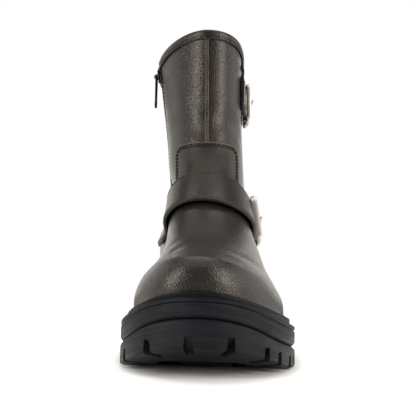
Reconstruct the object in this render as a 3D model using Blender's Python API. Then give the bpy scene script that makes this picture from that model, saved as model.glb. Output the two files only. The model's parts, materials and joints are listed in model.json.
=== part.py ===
"""Left biker ankle boot: a hollow leather upper on a lugged rubber sole, with a zip, a gore and two straps.

+Z is up, the toe points along -Y, the outer side of the foot is +X, and the origin lies on the floor under
the middle of the boot. Sizes are in millimetres and become metres when a mesh is made.
"""
import math
from typing import Callable, NamedTuple

import bmesh
import bpy
from mathutils import Matrix, Vector

MM = 0.001
GAP = 0.3
BED_GAP = 0.5

# Sole sizes
SOLE_LENGTH = 282.0
MIDSOLE_THICK = 10.0
MIDSOLE_CHAMFER = 2.0
MIDSOLE_GROWTH, MIDSOLE_GROWTH_RUN = 1.2, 35.0
TOE_SPRING = 16.0
TOE_SPRING_FROM_Y = -72.0
TOE_SPRING_POWER = 1.8
OUTSOLE_CHAMFER = 2.2
TREAD_EDGE = 1.4
STATIONS = 26

# Tread sizes
NOTCH_DEPTH = 12.0
NOTCH_HEIGHT, NOTCH_END_HEIGHT = 8.0, 2.0
NOTCH_MOUTH = 6.4
NOTCH_ROOF = 4.0
TROUGH_INSET = 17.0
TROUGH_HEIGHT = 5.0
LUG_ROOT = 1.0
LUG_TAPER = 1.0
NOTCH_OUTSIDE = 3.0
NOTCH_BELOW = 6.0
TROUGH_BELOW = 8.0
TROUGH_STEPS = 8

# Upper sizes
WALL = 2.0
INSOLE_THICK = 3.0
INSOLE_INSET = WALL + 0.7
TOE_POWER = 2.15
HEEL_POWER = 2.3
BALL_SLANT = 0.03
AROUND = 40

# Overlay sizes
OVERLAY_LIFT = 0.5
OVERLAY_THICK = 1.2
PANEL_HALF = 0.235
PANEL_TOP = 9.55
PANEL_CORNER = 0.42
PANEL_ROUND_FROM, PANEL_ROUND_TO = 0.72, 0.96
PANEL_UNDER_STRAP = 6.0
BINDING_DEPTH = 6.5
# Section of the binding, as rows of (lift from the upper's face, rise over the collar)
BINDING_OUTSIDE = [(1.5, -BINDING_DEPTH), (1.5, 0.3), (0.4, 1.6),
                   (-2.4, 1.6), (-3.5, 0.3), (-3.5, -BINDING_DEPTH)]
BINDING_INSIDE = [(0.4, -BINDING_DEPTH), (0.4, 0.2), (0.3, 0.45),
                  (-2.3, 0.45), (-2.4, 0.2), (-2.4, -BINDING_DEPTH)]

# Zip sizes, on the inner side
ZIP_Y = 66.0
ZIP_SLOT = 8.4
ZIP_FOOT_Z = 62.0
TAPE_HALF = 3.4
TEETH_HALF = 1.3
TEETH_SLOPE = 0.4
TEETH_LIFT, TAPE_LIFT, TAPE_BACK_LIFT = 0.4, -0.6, -1.8
ZIP_GAP = 0.6
SLIDER_Z = 211.0
SLIDER_WIDTH, SLIDER_LENGTH, SLIDER_THICK = 6.0, 10.0, 1.6
SLIDER_LIFT = 0.9
BRIDGE_WIDTH, BRIDGE_LENGTH, BRIDGE_HEIGHT = 2.4, 4.8, 3.2
BRIDGE_HOLE_LENGTH, BRIDGE_HOLE_HEIGHT, BRIDGE_HOLE_OVER = 2.4, 2.0, 0.001
PULL_WIDTH, PULL_LENGTH, PULL_THICK = 5.4, 25.0, 1.2
PULL_EYE_WIDTH, PULL_EYE_LENGTH, PULL_BAR = 3.2, 3.6, 0.6
# Outline of the pull below its hinge, as rows of (height, width)
PULL_OUTLINE = [(PULL_BAR, PULL_WIDTH), (-PULL_EYE_LENGTH - 2.0, PULL_WIDTH), (-PULL_LENGTH + 8.0, 3.4),
                (-PULL_LENGTH + 2.0, 5.0), (-PULL_LENGTH, 3.8)]

# Gore sizes, on the outer side under the shaft strap
GORE_TOP_Y = (50.0, 84.0)
GORE_FOOT_Y = (60.0, 76.0)
GORE_FOOT_Z, GORE_TOP_Z = 166.0, 219.0
GORE_TILT = 0.15
GORE_GAP = 0.5
GORE_RIPPLE, GORE_PITCH = 0.7, 5.0
GORE_PUCKER_Z = (195.0, 216.0)
GORE_PUCKER_RISE, GORE_PUCKER_FALL = 8.0, 6.0
GORE_SINK, GORE_HALF_THICK = 1.1, 0.7


class Finish(NamedTuple):
    """Colour, roughness and metallic value of a material."""
    colour: tuple
    roughness: float
    metallic: float


LEATHER = Finish((0.048, 0.042, 0.038), 0.46, 0.0)
RUBBER = Finish((0.018, 0.018, 0.020), 0.62, 0.0)
LINING = Finish((0.030, 0.028, 0.027), 0.85, 0.0)
ELASTIC = Finish((0.010, 0.010, 0.010), 0.90, 0.0)
NICKEL = Finish((0.560, 0.540, 0.510), 0.30, 1.0)
GUNMETAL = Finish((0.050, 0.050, 0.052), 0.35, 1.0)


class Loop(NamedTuple):
    """One closed line round the boot: its two ends, its inner and outer half widths, and where they lie."""
    front_y: float
    front_z: float
    front_x: float
    back_y: float
    back_z: float
    back_x: float
    ball_in: float
    ball_out: float
    waist_in: float
    waist_out: float
    heel_in: float
    heel_out: float
    ball_at: float
    heel_at: float
    mid_x: float
    follow: float
    power_in: float = TOE_POWER
    drop_in: float = 0.0


class Strap(NamedTuple):
    """A strap's middle through (y, z), its falls before and after a bend, its buckle and its ends."""
    y: float
    z: float
    fall: float
    end_fall: float
    bend_y: float
    half: float
    buckle_half: float
    thick: float
    bar_y: float
    frame_length: float
    frame_width: float
    start_y: float
    end_y: float
    centre_lift: float


STRAP_END_LIFT = 0.6
STRAP_BEND_RUN = 10.0
# The instep strap starts beside the zip on the inner side, the shaft strap before the gore on the outer side
INSTEP_STRAP = Strap(-6.0, 109.6, 37.0, 4.0, 12.0, 16.6, 13.9, 2.2, 16.0, 21.0, 35.4, ZIP_Y - 7.0, 62.0, 2.3)
SHAFT_STRAP = Strap(47.0, 195.0, 9.5, 9.5, 47.0, 11.5, 11.5, 2.2, 65.0, 20.0, 33.0, 47.0, 124.0, 0.6)
HINGE_LIFT = 5.2
UNDER_FRAME_AT, UNDER_FRAME_LIFT = 0.45, 3.2
TAIL_LIFT = 6.0
TAIL_END_LIFT = 6.5
TAIL_LENGTH = 9.0
LIFT_FALL = 0.14
LIFT_MARGIN = 0.035
STRAP_EDGE = 0.35
# Points across a strap's section, in half widths
BAND_ACROSS = (-1.0, -0.5, 0.0, 0.5, 1.0)
CHAPE_INSET = 0.5
CHAPE_BEHIND_HINGE = 3.0
SLOT_HALF = 1.6
SLOT_PAST_HINGE = 4.5
FRAME_BAR, FRAME_THICK, FRAME_CORNER = 3.4, 2.6, 4.5
# Section of the frame's bar, in half widths and half thicknesses
FRAME_SECTION = [(-1, -0.5), (-0.6, -1), (0.6, -1), (1, -0.5), (1, 0.5), (0.6, 1), (-0.6, 1), (-1, 0.5)]
HINGE_BAR_SCALE = 0.55
FRONT_BAR_OUT, HINGE_BAR_OUT = 6.2, 3.8
PRONG_RADIUS = 0.75
PRONG_CLEAR = 0.45
PRONG_SAG = 0.5
PRONG_HOOK_DEG = (-110, 100)

# Height of the midsole's top along the boot, as rows of (y, z)
SOLE_TOP = [(-141, 41.5), (-115, 32.1), (-85, 25.5), (-50, 22.5), (-15, 24.5),
            (25, 31), (65, 38.5), (100, 42), (141, 43.5)]
# Underside behind the ball: arch, heel breast, heel flat and the bevel at the back, as rows of (y, z)
UNDERSIDE = [(10, 0), (22, 11), (57, 13), (60.5, 0), (130, 0), (141, 2.5)]
# Side of the midsole from the top down: bead, shallow groove, wall and the chamfer over the outsole
MIDSOLE_SIDE = [(1.2, 0.0), (0.2, -0.6), (0.2, -1.8), (0.8, -2.3), (0.2, -2.8), (0.0, -4.0),
                (0.0, MIDSOLE_CHAMFER - MIDSOLE_THICK), (MIDSOLE_CHAMFER, -MIDSOLE_THICK)]
# Side of the welt: how far out from the upper's feather line, and the height over the midsole
WELT_SECTION = [(0.6, 0.0), (3.6, 0.0), (3.6, 3.3), (2.8, 4.2), (1.2, 4.2)]
# Where the notches between the edge lugs lie, as y on the inner and on the outer side
NOTCHES_IN = [-140.8, -131, -108, -88, -68, -48, -26, -5, 74, 92, 110, 128]
NOTCHES_OUT = [-137, -120.4, -108.3, -91.3, -77, -61, -44, -25, -5, 74, 92, 110, 128]
# Lugs in the middle of the tread, as rows of (y, half width, half length)
MIDDLE_LUGS = [(-94, 15, 6), (-72, 20, 6), (-50, 22, 6), (-28, 20, 6), (-8, 16, 5), (92, 14, 6), (108, 12, 5)]
TROUGHS = [(-112, 2), (76, 120)]


def mix(a: float, b: float, t: float) -> float:
    """Value between a and b at the fraction t."""
    return a + (b - a) * t


def ease(t: float) -> float:
    """Smooth step from 0 to 1 over t from 0 to 1."""
    t = min(max(t, 0.0), 1.0)
    return t * t * (3 - 2 * t)


def curve_through(rows: list, x: float) -> float:
    """Smooth value at x through rows of (x, value), held beyond both ends."""
    x = min(max(x, rows[0][0]), rows[-1][0])
    i = max(k for k in range(len(rows) - 1) if rows[k][0] <= x)

    def slope(k: int) -> float:
        low, high = rows[max(k - 1, 0)], rows[min(k + 1, len(rows) - 1)]
        return (high[1] - low[1]) / (high[0] - low[0])

    span = rows[i + 1][0] - rows[i][0]
    t = (x - rows[i][0]) / span
    bend = t * (1 - t) * span * (slope(i) * (1 - t) - slope(i + 1) * t)
    return mix(rows[i][1], rows[i + 1][1], ease(t)) + bend


def straight_through(rows: list, x: float) -> float:
    """Value at x on straight lines through rows of (x, value), held beyond both ends."""
    x = min(max(x, rows[0][0]), rows[-1][0])
    i = max(k for k in range(len(rows) - 1) if rows[k][0] <= x)
    (x0, low), (x1, high) = rows[i], rows[i + 1]
    return mix(low, high, (x - x0) / (x1 - x0))


def sole_top(y: float) -> float:
    """Height of the midsole's top."""
    return curve_through(SOLE_TOP, y)


def ground(y: float) -> float:
    """Height of the tread's underside: toe spring, flat forefoot, arch and heel."""
    if y < TOE_SPRING_FROM_Y:
        run = TOE_SPRING_FROM_Y + SOLE_LENGTH / 2
        return TOE_SPRING * ((TOE_SPRING_FROM_Y - y) / run) ** TOE_SPRING_POWER
    return straight_through(UNDERSIDE, y)


SOLE = Loop(-SOLE_LENGTH / 2, 0, -6, SOLE_LENGTH / 2, 0, -3.5,
            52.0, 52.2, 36.5, 45, 41, 34, 0.31, 0.84, 0, 1)

# The last's lines from the sole to the collar, each with its columns in this order:
# front y, z, x   back y, z, x   ball in, out   waist in, out   heel in, out   ball, heel at   mid x   follow
# and, towards the collar, the roundness and the drop of the front inner quarter
UPPER = [
    Loop(-131.5, sole_top(-131.5) + BED_GAP, -6, 133.5, sole_top(133.5) + BED_GAP, -3.5,
         45.0, 45.5, 29.5, 37.5, 33.5, 26.5, 0.31, 0.84, 0.0, 1.0),
    Loop(-133.0, 50.0, -6.0, 136.0, 58.0, -3.5, 45.2, 44.7, 31.0, 37.0, 35.0, 27.5, 0.31, 0.84, 0.0, 0.90),
    Loop(-130.0, 57.5, -6.0, 136.5, 66.0, -3.5, 42.0, 39.3, 33.0, 35.0, 35.6, 28.0, 0.31, 0.84, 0.0, 0.75),
    Loop(-120.5, 63.5, -6.0, 136.0, 73.0, -3.5, 34.6, 34.0, 36.6, 33.0, 36.2, 28.0, 0.31, 0.84, 0.0, 0.60),
    Loop(-99.0, 68.5, -6.0, 135.0, 80.0, -3.5, 30.0, 31.4, 37.6, 31.6, 36.0, 28.0, 0.30, 0.82, -0.3, 0.40),
    Loop(-72.0, 75.0, -6.0, 133.5, 88.0, -3.0, 29.2, 29.7, 35.8, 30.2, 34.6, 28.0, 0.305, 0.80, -0.8, 0.25),
    Loop(-46.0, 85.5, -5.5, 131.5, 95.0, -2.5, 28.7, 28.3, 32.6, 29.0, 32.0, 28.0, 0.31, 0.77, -1.5, 0.12),
    Loop(-20.0, 101.0, -4.0, 129.0, 104.0, -2.0, 27.2, 27.8, 30.0, 28.8, 31.0, 28.0, 0.33, 0.72, -2.5, 0.05),
    Loop(0.0, 119.0, -2.0, 127.0, 114.0, -1.0, 26.3, 27.8, 28.0, 28.8, 30.0, 28.0, 0.36, 0.66, -4.0, 0.0),
    Loop(13.0, 138.0, 1.0, 125.5, 127.0, 0.0, 28.0, 29.0, 28.0, 29.0, 29.0, 28.0, 0.38, 0.62, -6.0, 0.0, 2.1),
    Loop(19.0, 160.0, 2.0, 126.0, 147.0, 0.0, 28.5, 29.5, 28.5, 29.5, 28.5, 28.5, 0.40, 0.60, -7.5, 0.0, 2.0),
    Loop(20.5, 192.0, 4.0, 130.0, 176.0, 0.0, 30, 31, 30, 31, 30, 30, 0.41, 0.58, -10, 0, 1.8, 1.5),
    Loop(19.5, 232.5, 6.0, 137.0, 212.0, 0.0, 32, 34, 32, 34, 32.5, 32.5, 0.42, 0.56, -13, 0, 1.65, 5),
]
COLLAR = float(len(UPPER) - 1)
UNDER_COLLAR = 0.02
# Lines up the upper: close together on the toe and where the instep hollows
UPPER_LINES = ([k / 2 for k in range(10)] + [5 + k / 3 for k in range(15)] + [10 + k / 2 for k in range(5)])


def reach(row: Loop, t: float, side: int) -> float:
    """Half width of a loop on one side (1 outer, -1 inner) at the fraction t from its front to its back."""
    outer = side > 0
    ball = row.ball_out if outer else row.ball_in
    waist = row.waist_out if outer else row.waist_in
    heel = row.heel_out if outer else row.heel_in
    ball_at = row.ball_at + side * BALL_SLANT * row.follow
    if t <= ball_at:
        power = TOE_POWER if outer else row.power_in
        return ball * (1 - (1 - t / ball_at) ** power) ** (1 / power)
    if t >= row.heel_at:
        return heel * (1 - ((t - row.heel_at) / (1 - row.heel_at)) ** HEEL_POWER) ** (1 / HEEL_POWER)
    k = (t - ball_at) / (row.heel_at - ball_at)
    return mix(ball, heel, ease(k)) + (waist - (ball + heel) / 2) * math.sin(math.pi * k) ** 2


def bow(row: Loop, t: float) -> float:
    """Sideways bend of a loop's middle line, strongest at its two ends."""
    front = row.front_x * max(1 - t / row.ball_at, 0.0) ** 2
    back = row.back_x * max((t - row.heel_at) / (1 - row.heel_at), 0.0) ** 2
    return row.mid_x + front + back


def on_loop(row: Loop, s: float) -> Vector:
    """Point on a loop: s runs from 0 at the front to 1 at the back, outer side, or to -1, inner side."""
    s = (s + 1) % 2 - 1
    side = 1 if s >= 0 else -1
    t = (1 - math.cos(math.pi * abs(s))) / 2
    y = mix(row.front_y, row.back_y, t)
    sag = sole_top(y) - mix(sole_top(row.front_y), sole_top(row.back_y), t)
    z = mix(row.front_z, row.back_z, t) + row.follow * sag
    if side < 0:
        z -= row.drop_in * min(ease(t / row.ball_at), ease((1 - t) / (1 - row.heel_at)))
    return Vector((bow(row, t) + side * reach(row, t, side), y, z))


def upper_row(v: float) -> Loop:
    """The last's line at the height v, counted in rows of the table and smooth between them."""
    i = min(int(v), len(UPPER) - 2)
    t = v - i
    a, b, c, d = (UPPER[min(max(k, 0), len(UPPER) - 1)] for k in range(i - 1, i + 3))

    def smooth(p: float, q: float, r: float, w: float) -> float:
        return q + t * ((r - p) / 2 + t * (p - 2.5 * q + 2 * r - w / 2 + t * (1.5 * (q - r) + (w - p) / 2)))

    return Loop(*(smooth(*column) for column in zip(a, b, c, d)))


def slopes(s: float, v: float) -> tuple:
    """Directions round and up the upper at (s, v)."""
    step = 0.01
    row = upper_row(v)
    round_it = on_loop(row, s + step) - on_loop(row, s - step)
    up = on_loop(upper_row(min(v + step, COLLAR)), s) - on_loop(upper_row(max(v - step, 0.0)), s)
    return round_it.normalized(), up.normalized()


def skin(s: float, v: float, lift: float = 0.0) -> Vector:
    """Point of the upper's outer face, lifted along its normal."""
    round_it, up = slopes(s, v)
    return on_loop(upper_row(v), s) + lift * round_it.cross(up).normalized()


def root_of(value: Callable[[float], float], low: float, high: float) -> float:
    """Where a rising value crosses zero between low and high."""
    for _ in range(30):
        middle = (low + high) / 2
        if value(middle) < 0:
            low = middle
        else:
            high = middle
    return (low + high) / 2


def round_at(y: float, v: float, side: int) -> float:
    """The s of a place y on the inner or outer side of the upper."""
    row = upper_row(v)
    t = min(max((y - row.front_y) / (row.back_y - row.front_y), 0.0), 1.0)
    return side * math.acos(1 - 2 * t) / math.pi


def height_at(y: float, z: float, side: int) -> float:
    """The v of a place (y, z) on the inner or outer side of the upper."""
    return root_of(lambda v: skin(round_at(y, v, side), v).z - z, 0.0, COLLAR)


def add_loft(mesh: bmesh.types.BMesh, sections: list, ring: bool = False) -> None:
    """Join closed sections of one even count; an open run gets a ladder of faces over each end."""
    rows = [[mesh.verts.new(point * MM) for point in section] for section in sections]
    count = len(rows[0])
    following = rows[1:] + rows[:1] if ring else rows[1:]
    for low, high in zip(rows, following):
        for k in range(count):
            n = (k + 1) % count
            mesh.faces.new((low[k], low[n], high[n], high[k]))
    if ring:
        return
    for row in (rows[0], rows[-1]):
        for k in range(count // 2 - 1):
            mesh.faces.new((row[k], row[k + 1], row[count - 2 - k], row[count - 1 - k]))


def add_box(mesh: bmesh.types.BMesh, low: tuple, high: tuple) -> None:
    """Box between two corners."""
    sections = []
    for z in (low[2], high[2]):
        sections.append([Vector(p) for p in ((low[0], low[1], z), (high[0], low[1], z),
                                             (high[0], high[1], z), (low[0], high[1], z))])
    add_loft(mesh, sections)


def add_object(name: str, mesh: bmesh.types.BMesh, finish: Finish, place: Matrix = None) -> bpy.types.Object:
    """Turn a bmesh into a named object with its own material, set at a place."""
    bmesh.ops.recalc_face_normals(mesh, faces=mesh.faces)
    data = bpy.data.meshes.new(name)
    mesh.to_mesh(data)
    mesh.free()
    data.shade_smooth()
    data.set_sharp_from_angle(angle=math.radians(40))
    made = bpy.data.materials.new(name + "_finish")
    made.use_nodes = True
    shader = made.node_tree.nodes["Principled BSDF"]
    shader.inputs["Base Color"].default_value = (*finish.colour, 1.0)
    shader.inputs["Roughness"].default_value = finish.roughness
    shader.inputs["Metallic"].default_value = finish.metallic
    data.materials.append(made)
    piece = bpy.data.objects.new(name, data)
    bpy.context.scene.collection.objects.link(piece)
    if place:
        piece.matrix_world = Matrix.Translation(place.translation * MM) @ place.to_3x3().to_4x4()
    return piece


def add_sections(name: str, sections: list, finish: Finish, ring: bool = False,
                 place: Matrix = None) -> bpy.types.Object:
    """One piece from one loft."""
    mesh = bmesh.new()
    add_loft(mesh, sections, ring)
    return add_object(name, mesh, finish, place)


def combine(piece: bpy.types.Object, tool: bpy.types.Object, operation: str = "DIFFERENCE") -> None:
    """Cut a piece with a tool, or join the tool to it."""
    tool.hide_render = True
    tool.display_type = "WIRE"
    modifier = piece.modifiers.new(tool.name, "BOOLEAN")
    modifier.operation = operation
    modifier.object = tool


def grown(row: Loop, out: float) -> Loop:
    """A loop moved outwards all round."""
    return row._replace(front_y=row.front_y - out, back_y=row.back_y + out,
                        ball_in=row.ball_in + out, ball_out=row.ball_out + out,
                        waist_in=row.waist_in + out, waist_out=row.waist_out + out,
                        heel_in=row.heel_in + out, heel_out=row.heel_out + out)


def even_stations() -> list:
    """Fractions from front to back that space the points of an outline evenly."""
    return [(1 - math.cos(math.pi * (i + 0.5) / STATIONS)) / 2 for i in range(STATIONS)]


def tread_stations() -> list:
    """Even stations, with one more at each bend of the underside."""
    bends = [(y + SOLE_LENGTH / 2) / SOLE_LENGTH for y, _ in UNDERSIDE[:-1]]
    bends.append((TOE_SPRING_FROM_Y + SOLE_LENGTH / 2) / SOLE_LENGTH)
    spread = [t for t in even_stations() if min(abs(t - bend) for bend in bends) > 0.012]
    return sorted(spread + bends)


def outline(row: Loop, stations: list, height: Callable[[float], float]) -> list:
    """Closed outline, out along the outer side and back along the inner, with its height at each y."""
    points = []
    for side, run in ((1, stations), (-1, list(reversed(stations)))):
        for t in run:
            y = mix(row.front_y, row.back_y, t)
            points.append(Vector((bow(row, t) + side * reach(row, t, side), y, height(y))))
    return points


def midsole_scale(y: float) -> float:
    """Thickness of the midsole as a share of that at the toe, which grows to the sides."""
    return mix(1.0, MIDSOLE_GROWTH, ease((y + SOLE_LENGTH / 2) / MIDSOLE_GROWTH_RUN))


def midsole_foot(y: float) -> float:
    """Height of the outsole's top, just under the midsole."""
    return sole_top(y) - MIDSOLE_THICK * midsole_scale(y) - GAP


def build_outsole() -> None:
    """Outsole with toe spring, arch and heel, edge notches, and middle lugs in two troughs."""
    stations = tread_stations()
    levels = [(OUTSOLE_CHAMFER, midsole_foot),
              (0.0, lambda y: midsole_foot(y) - OUTSOLE_CHAMFER),
              (0.0, lambda y: ground(y) + TREAD_EDGE),
              (TREAD_EDGE, ground)]
    outsole = add_sections("outsole", [outline(grown(SOLE, -inset), stations, height)
                                       for inset, height in levels], RUBBER)
    combine(outsole, notch_tool())
    combine(outsole, trough_tool())
    combine(outsole, lug_tool(), "UNION")


def notch_tool() -> bpy.types.Object:
    """Wedges across the edge of the tread, narrow at the top and low at their inner end."""
    mesh = bmesh.new()
    places = [(y, -1) for y in NOTCHES_IN] + [(y, 1) for y in NOTCHES_OUT]
    for y, side in places:
        t = (y + SOLE_LENGTH / 2) / SOLE_LENGTH
        s = side * math.acos(1 - 2 * t) / math.pi
        edge = on_loop(SOLE, s)
        run = on_loop(SOLE, s + 0.004) - on_loop(SOLE, s - 0.004)
        run = Vector((run.x, run.y, 0)).normalized()
        inward = Vector((-run.y, run.x, 0))
        sections = []
        for depth, height in ((-NOTCH_OUTSIDE, NOTCH_HEIGHT), (NOTCH_DEPTH, NOTCH_END_HEIGHT)):
            middle = edge + inward * depth
            floor = ground(max(middle.y, -SOLE_LENGTH / 2))
            corners = []
            for half, z in ((NOTCH_MOUTH / 2, floor - NOTCH_BELOW), (NOTCH_ROOF / 2, floor + height)):
                corners.append([Vector((p.x, p.y, z)) for p in (middle - run * half, middle + run * half)])
            sections.append([corners[0][0], corners[0][1], corners[1][1], corners[1][0]])
        add_loft(mesh, sections)
    return add_object("notch_tool", mesh, RUBBER)


def trough_tool() -> bpy.types.Object:
    """Sunken fields inside the edge lugs, under the forefoot and under the heel."""
    mesh = bmesh.new()
    inside = grown(SOLE, -TROUGH_INSET)
    for start, end in TROUGHS:
        stations = [(mix(start, end, k / TROUGH_STEPS) - inside.front_y) / (inside.back_y - inside.front_y)
                    for k in range(TROUGH_STEPS + 1)]
        add_loft(mesh, [outline(inside, stations, lambda y: -TROUGH_BELOW),
                        outline(inside, stations, lambda y: ground(y) + TROUGH_HEIGHT)])
    return add_object("trough_tool", mesh, RUBBER)


def lug_tool() -> bpy.types.Object:
    """Middle lugs that stand in the troughs, down to the tread."""
    mesh = bmesh.new()
    for y, half_x, half_y in MIDDLE_LUGS:
        middle_x = bow(SOLE, (y + SOLE_LENGTH / 2) / SOLE_LENGTH)
        sections = []
        for rise, taper in ((TROUGH_HEIGHT + LUG_ROOT, 0.0), (0.0, LUG_TAPER)):
            corners = [(-1, -1), (1, -1), (1, 1), (-1, 1)]
            sections.append([Vector((middle_x + i * (half_x - taper), y + j * (half_y - taper),
                                     ground(y + j * half_y) + rise)) for i, j in corners])
        add_loft(mesh, sections)
    return add_object("lug_tool", mesh, RUBBER)


def build_midsole() -> None:
    """Midsole with a bead and a shallow groove under its top edge, and a chamfer over the outsole."""
    stations = even_stations()
    sections = []
    for inset, drop in MIDSOLE_SIDE:
        sections.append(outline(grown(SOLE, -inset), stations,
                                lambda y, drop=drop: sole_top(y) + drop * midsole_scale(y)))
    add_sections("midsole", sections, RUBBER)


def build_welt() -> None:
    """Welt that runs round the foot of the upper on the midsole."""
    sections = []
    for i in range(AROUND):
        s = (2 * i + 1) / AROUND - 1
        section = []
        for out, rise in WELT_SECTION:
            point = on_loop(grown(UPPER[0], out), s)
            section.append(Vector((point.x, point.y, sole_top(point.y) + BED_GAP + rise)))
        sections.append(section)
    add_sections("welt", sections, RUBBER, ring=True)


def build_insole() -> None:
    """Insole inside the foot of the upper."""
    row = grown(UPPER[0], -INSOLE_INSET)
    levels = (BED_GAP, BED_GAP + INSOLE_THICK)
    add_sections("insole", [outline(row, even_stations(), lambda y, rise=rise: sole_top(y) + rise)
                            for rise in levels], LINING)


def wall_section(places: list, outside: Callable, inside: Callable) -> list:
    """Closed section of a wall: outer points in order, then the inner ones back."""
    return [outside(place) for place in places] + [inside(place) for place in reversed(places)]


def build_upper() -> None:
    """Hollow upper, open at the collar and underneath, with the zip slot and the gore's opening cut out."""
    sections = []
    for i in range(AROUND):
        s = (2 * i + 1) / AROUND - 1
        sections.append(wall_section(UPPER_LINES, lambda v: skin(s, v), lambda v: skin(s, v, -WALL)))
    upper = add_sections("upper", sections, LEATHER, ring=True)
    slot = bmesh.new()
    outside_x, inside_x, above_z = -80, -16, 260
    add_box(slot, (outside_x, ZIP_Y - ZIP_SLOT / 2, ZIP_FOOT_Z), (inside_x, ZIP_Y + ZIP_SLOT / 2, above_z))
    combine(upper, add_object("zip_slot_tool", slot, LEATHER))
    combine(upper, gore_tool())


def gore_edge(z: float) -> tuple:
    """Front and back y of the gore's opening at a height."""
    t = (z - GORE_FOOT_Z) / (GORE_TOP_Z - GORE_FOOT_Z)
    return tuple(mix(foot, top, t) for foot, top in zip(GORE_FOOT_Y, GORE_TOP_Y))


def gore_foot(y: float) -> float:
    """Height of the gore's foot, which falls to the back as the collar does."""
    return GORE_FOOT_Z - GORE_TILT * (y - sum(GORE_FOOT_Y) / 2)


def gore_tool() -> bpy.types.Object:
    """Wedge that opens the outer wall for the gore, past the collar."""
    top_z, inside_x, outside_x = 245.0, 4.0, 60.0
    corners = [(y, gore_foot(y)) for y in GORE_FOOT_Y] + [(y, top_z) for y in reversed(gore_edge(top_z))]
    mesh = bmesh.new()
    add_loft(mesh, [[Vector((x, y, z)) for y, z in corners] for x in (inside_x, outside_x)])
    return add_object("gore_tool", mesh, LEATHER)


def gore_span(v: float) -> tuple:
    """Front and back y of the gore itself on the upper's line at v."""
    span = []
    for which, inset in ((0, GORE_GAP), (1, -GORE_GAP)):
        y = GORE_FOOT_Y[which]
        for _ in range(5):
            y = gore_edge(skin(round_at(y, v, 1), v).z)[which] + inset
        span.append(y)
    return tuple(span)


def build_gore() -> None:
    """Elastic gore in its opening, up into the binding and puckered below it."""
    columns, rows = 4, 18
    middle = sum(GORE_FOOT_Y) / 2
    foot = height_at(middle, GORE_FOOT_Z + GORE_GAP, 1)
    sections = []
    for k in range(rows + 1):
        v = mix(foot, COLLAR - UNDER_COLLAR, k / rows)
        z = skin(round_at(middle, v, 1), v).z
        low, high = GORE_PUCKER_Z
        pucker = ease((z - low) / GORE_PUCKER_RISE) * ease((high - z) / GORE_PUCKER_FALL)
        swell = GORE_RIPPLE * pucker * math.sin(2 * math.pi * z / GORE_PITCH) - GORE_SINK
        front, back = gore_span(v)
        run = [mix(front, back, i / columns) for i in range(columns + 1)]
        sections.append(wall_section(run, lambda y: skin(round_at(y, v, 1), v, swell + GORE_HALF_THICK),
                                     lambda y: skin(round_at(y, v, 1), v, swell - GORE_HALF_THICK)))
    add_sections("elastic_gore", sections, ELASTIC)


def build_instep_panel() -> None:
    """Instep panel laid over the throat, from under the strap up to its rounded top."""
    columns, rows = 14, 9
    sections = []
    for i in range(columns + 1):
        s = mix(-PANEL_HALF, PANEL_HALF, i / columns)
        edge = max(abs(s) / PANEL_HALF - PANEL_ROUND_FROM, 0.0) / (1 - PANEL_ROUND_FROM)
        top = PANEL_TOP - PANEL_CORNER * (1 - math.sqrt(1 - PANEL_ROUND_TO * edge ** 2))
        foot = root_of(lambda v: strap_offset(INSTEP_STRAP, skin(s, v)) + PANEL_UNDER_STRAP, 3.0, COLLAR)
        run = [mix(foot, top, k / rows) for k in range(rows + 1)]
        sections.append(wall_section(run, lambda v: skin(s, v, OVERLAY_LIFT + OVERLAY_THICK),
                                     lambda v: skin(s, v, OVERLAY_LIFT)))
    add_sections("instep_panel", sections, LEATHER)


def build_collar_binding() -> None:
    """Binding folded over the collar, open at the zip."""
    profile = BINDING_OUTSIDE + BINDING_INSIDE[::-1]
    start = round_at(ZIP_Y - ZIP_SLOT / 2, COLLAR, -1)
    end = 2 + round_at(ZIP_Y + ZIP_SLOT / 2, COLLAR, -1)
    sections = []
    for i in range(AROUND + 1):
        s = mix(start, end, i / AROUND)
        round_it, up = slopes(s, COLLAR)
        normal = round_it.cross(up).normalized()
        edge = skin(s, COLLAR)
        sections.append([edge + normal * lift + up * rise for lift, rise in profile])
    add_sections("collar_binding", sections, LEATHER)


def build_zip() -> None:
    """Zip tape with its closed teeth in the slot, the slider near the top and its hanging pull."""
    teeth_foot = TEETH_HALF + TEETH_SLOPE
    columns = [(-TAPE_HALF, TAPE_LIFT), (-teeth_foot, TAPE_LIFT), (-TEETH_HALF, TEETH_LIFT),
               (TEETH_HALF, TEETH_LIFT), (teeth_foot, TAPE_LIFT), (TAPE_HALF, TAPE_LIFT)]
    rows = 18
    sections = []
    for k in range(rows + 1):
        v = mix(height_at(ZIP_Y, ZIP_FOOT_Z + ZIP_GAP, -1), COLLAR - UNDER_COLLAR, k / rows)

        def place(column: tuple, lift: float) -> Vector:
            return skin(round_at(ZIP_Y + column[0], v, -1), v, lift)

        sections.append(wall_section(columns, lambda c: place(c, c[1]), lambda c: place(c, TAPE_BACK_LIFT)))
    add_sections("zip_chain", sections, GUNMETAL)

    v = height_at(ZIP_Y, SLIDER_Z, -1)
    s = round_at(ZIP_Y, v, -1)
    _, up = slopes(s, v)
    lean = math.atan2(up.x, up.z)
    turn = Matrix.Rotation(lean, 4, "Y")
    seat = skin(s, v, SLIDER_LIFT)
    build_slider(Matrix.Translation(seat) @ turn)
    hinge = seat + turn @ Vector((-SLIDER_THICK - BRIDGE_HOLE_HEIGHT / 2, 0, 0))
    build_pull(Matrix.Translation(hinge))


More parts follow.
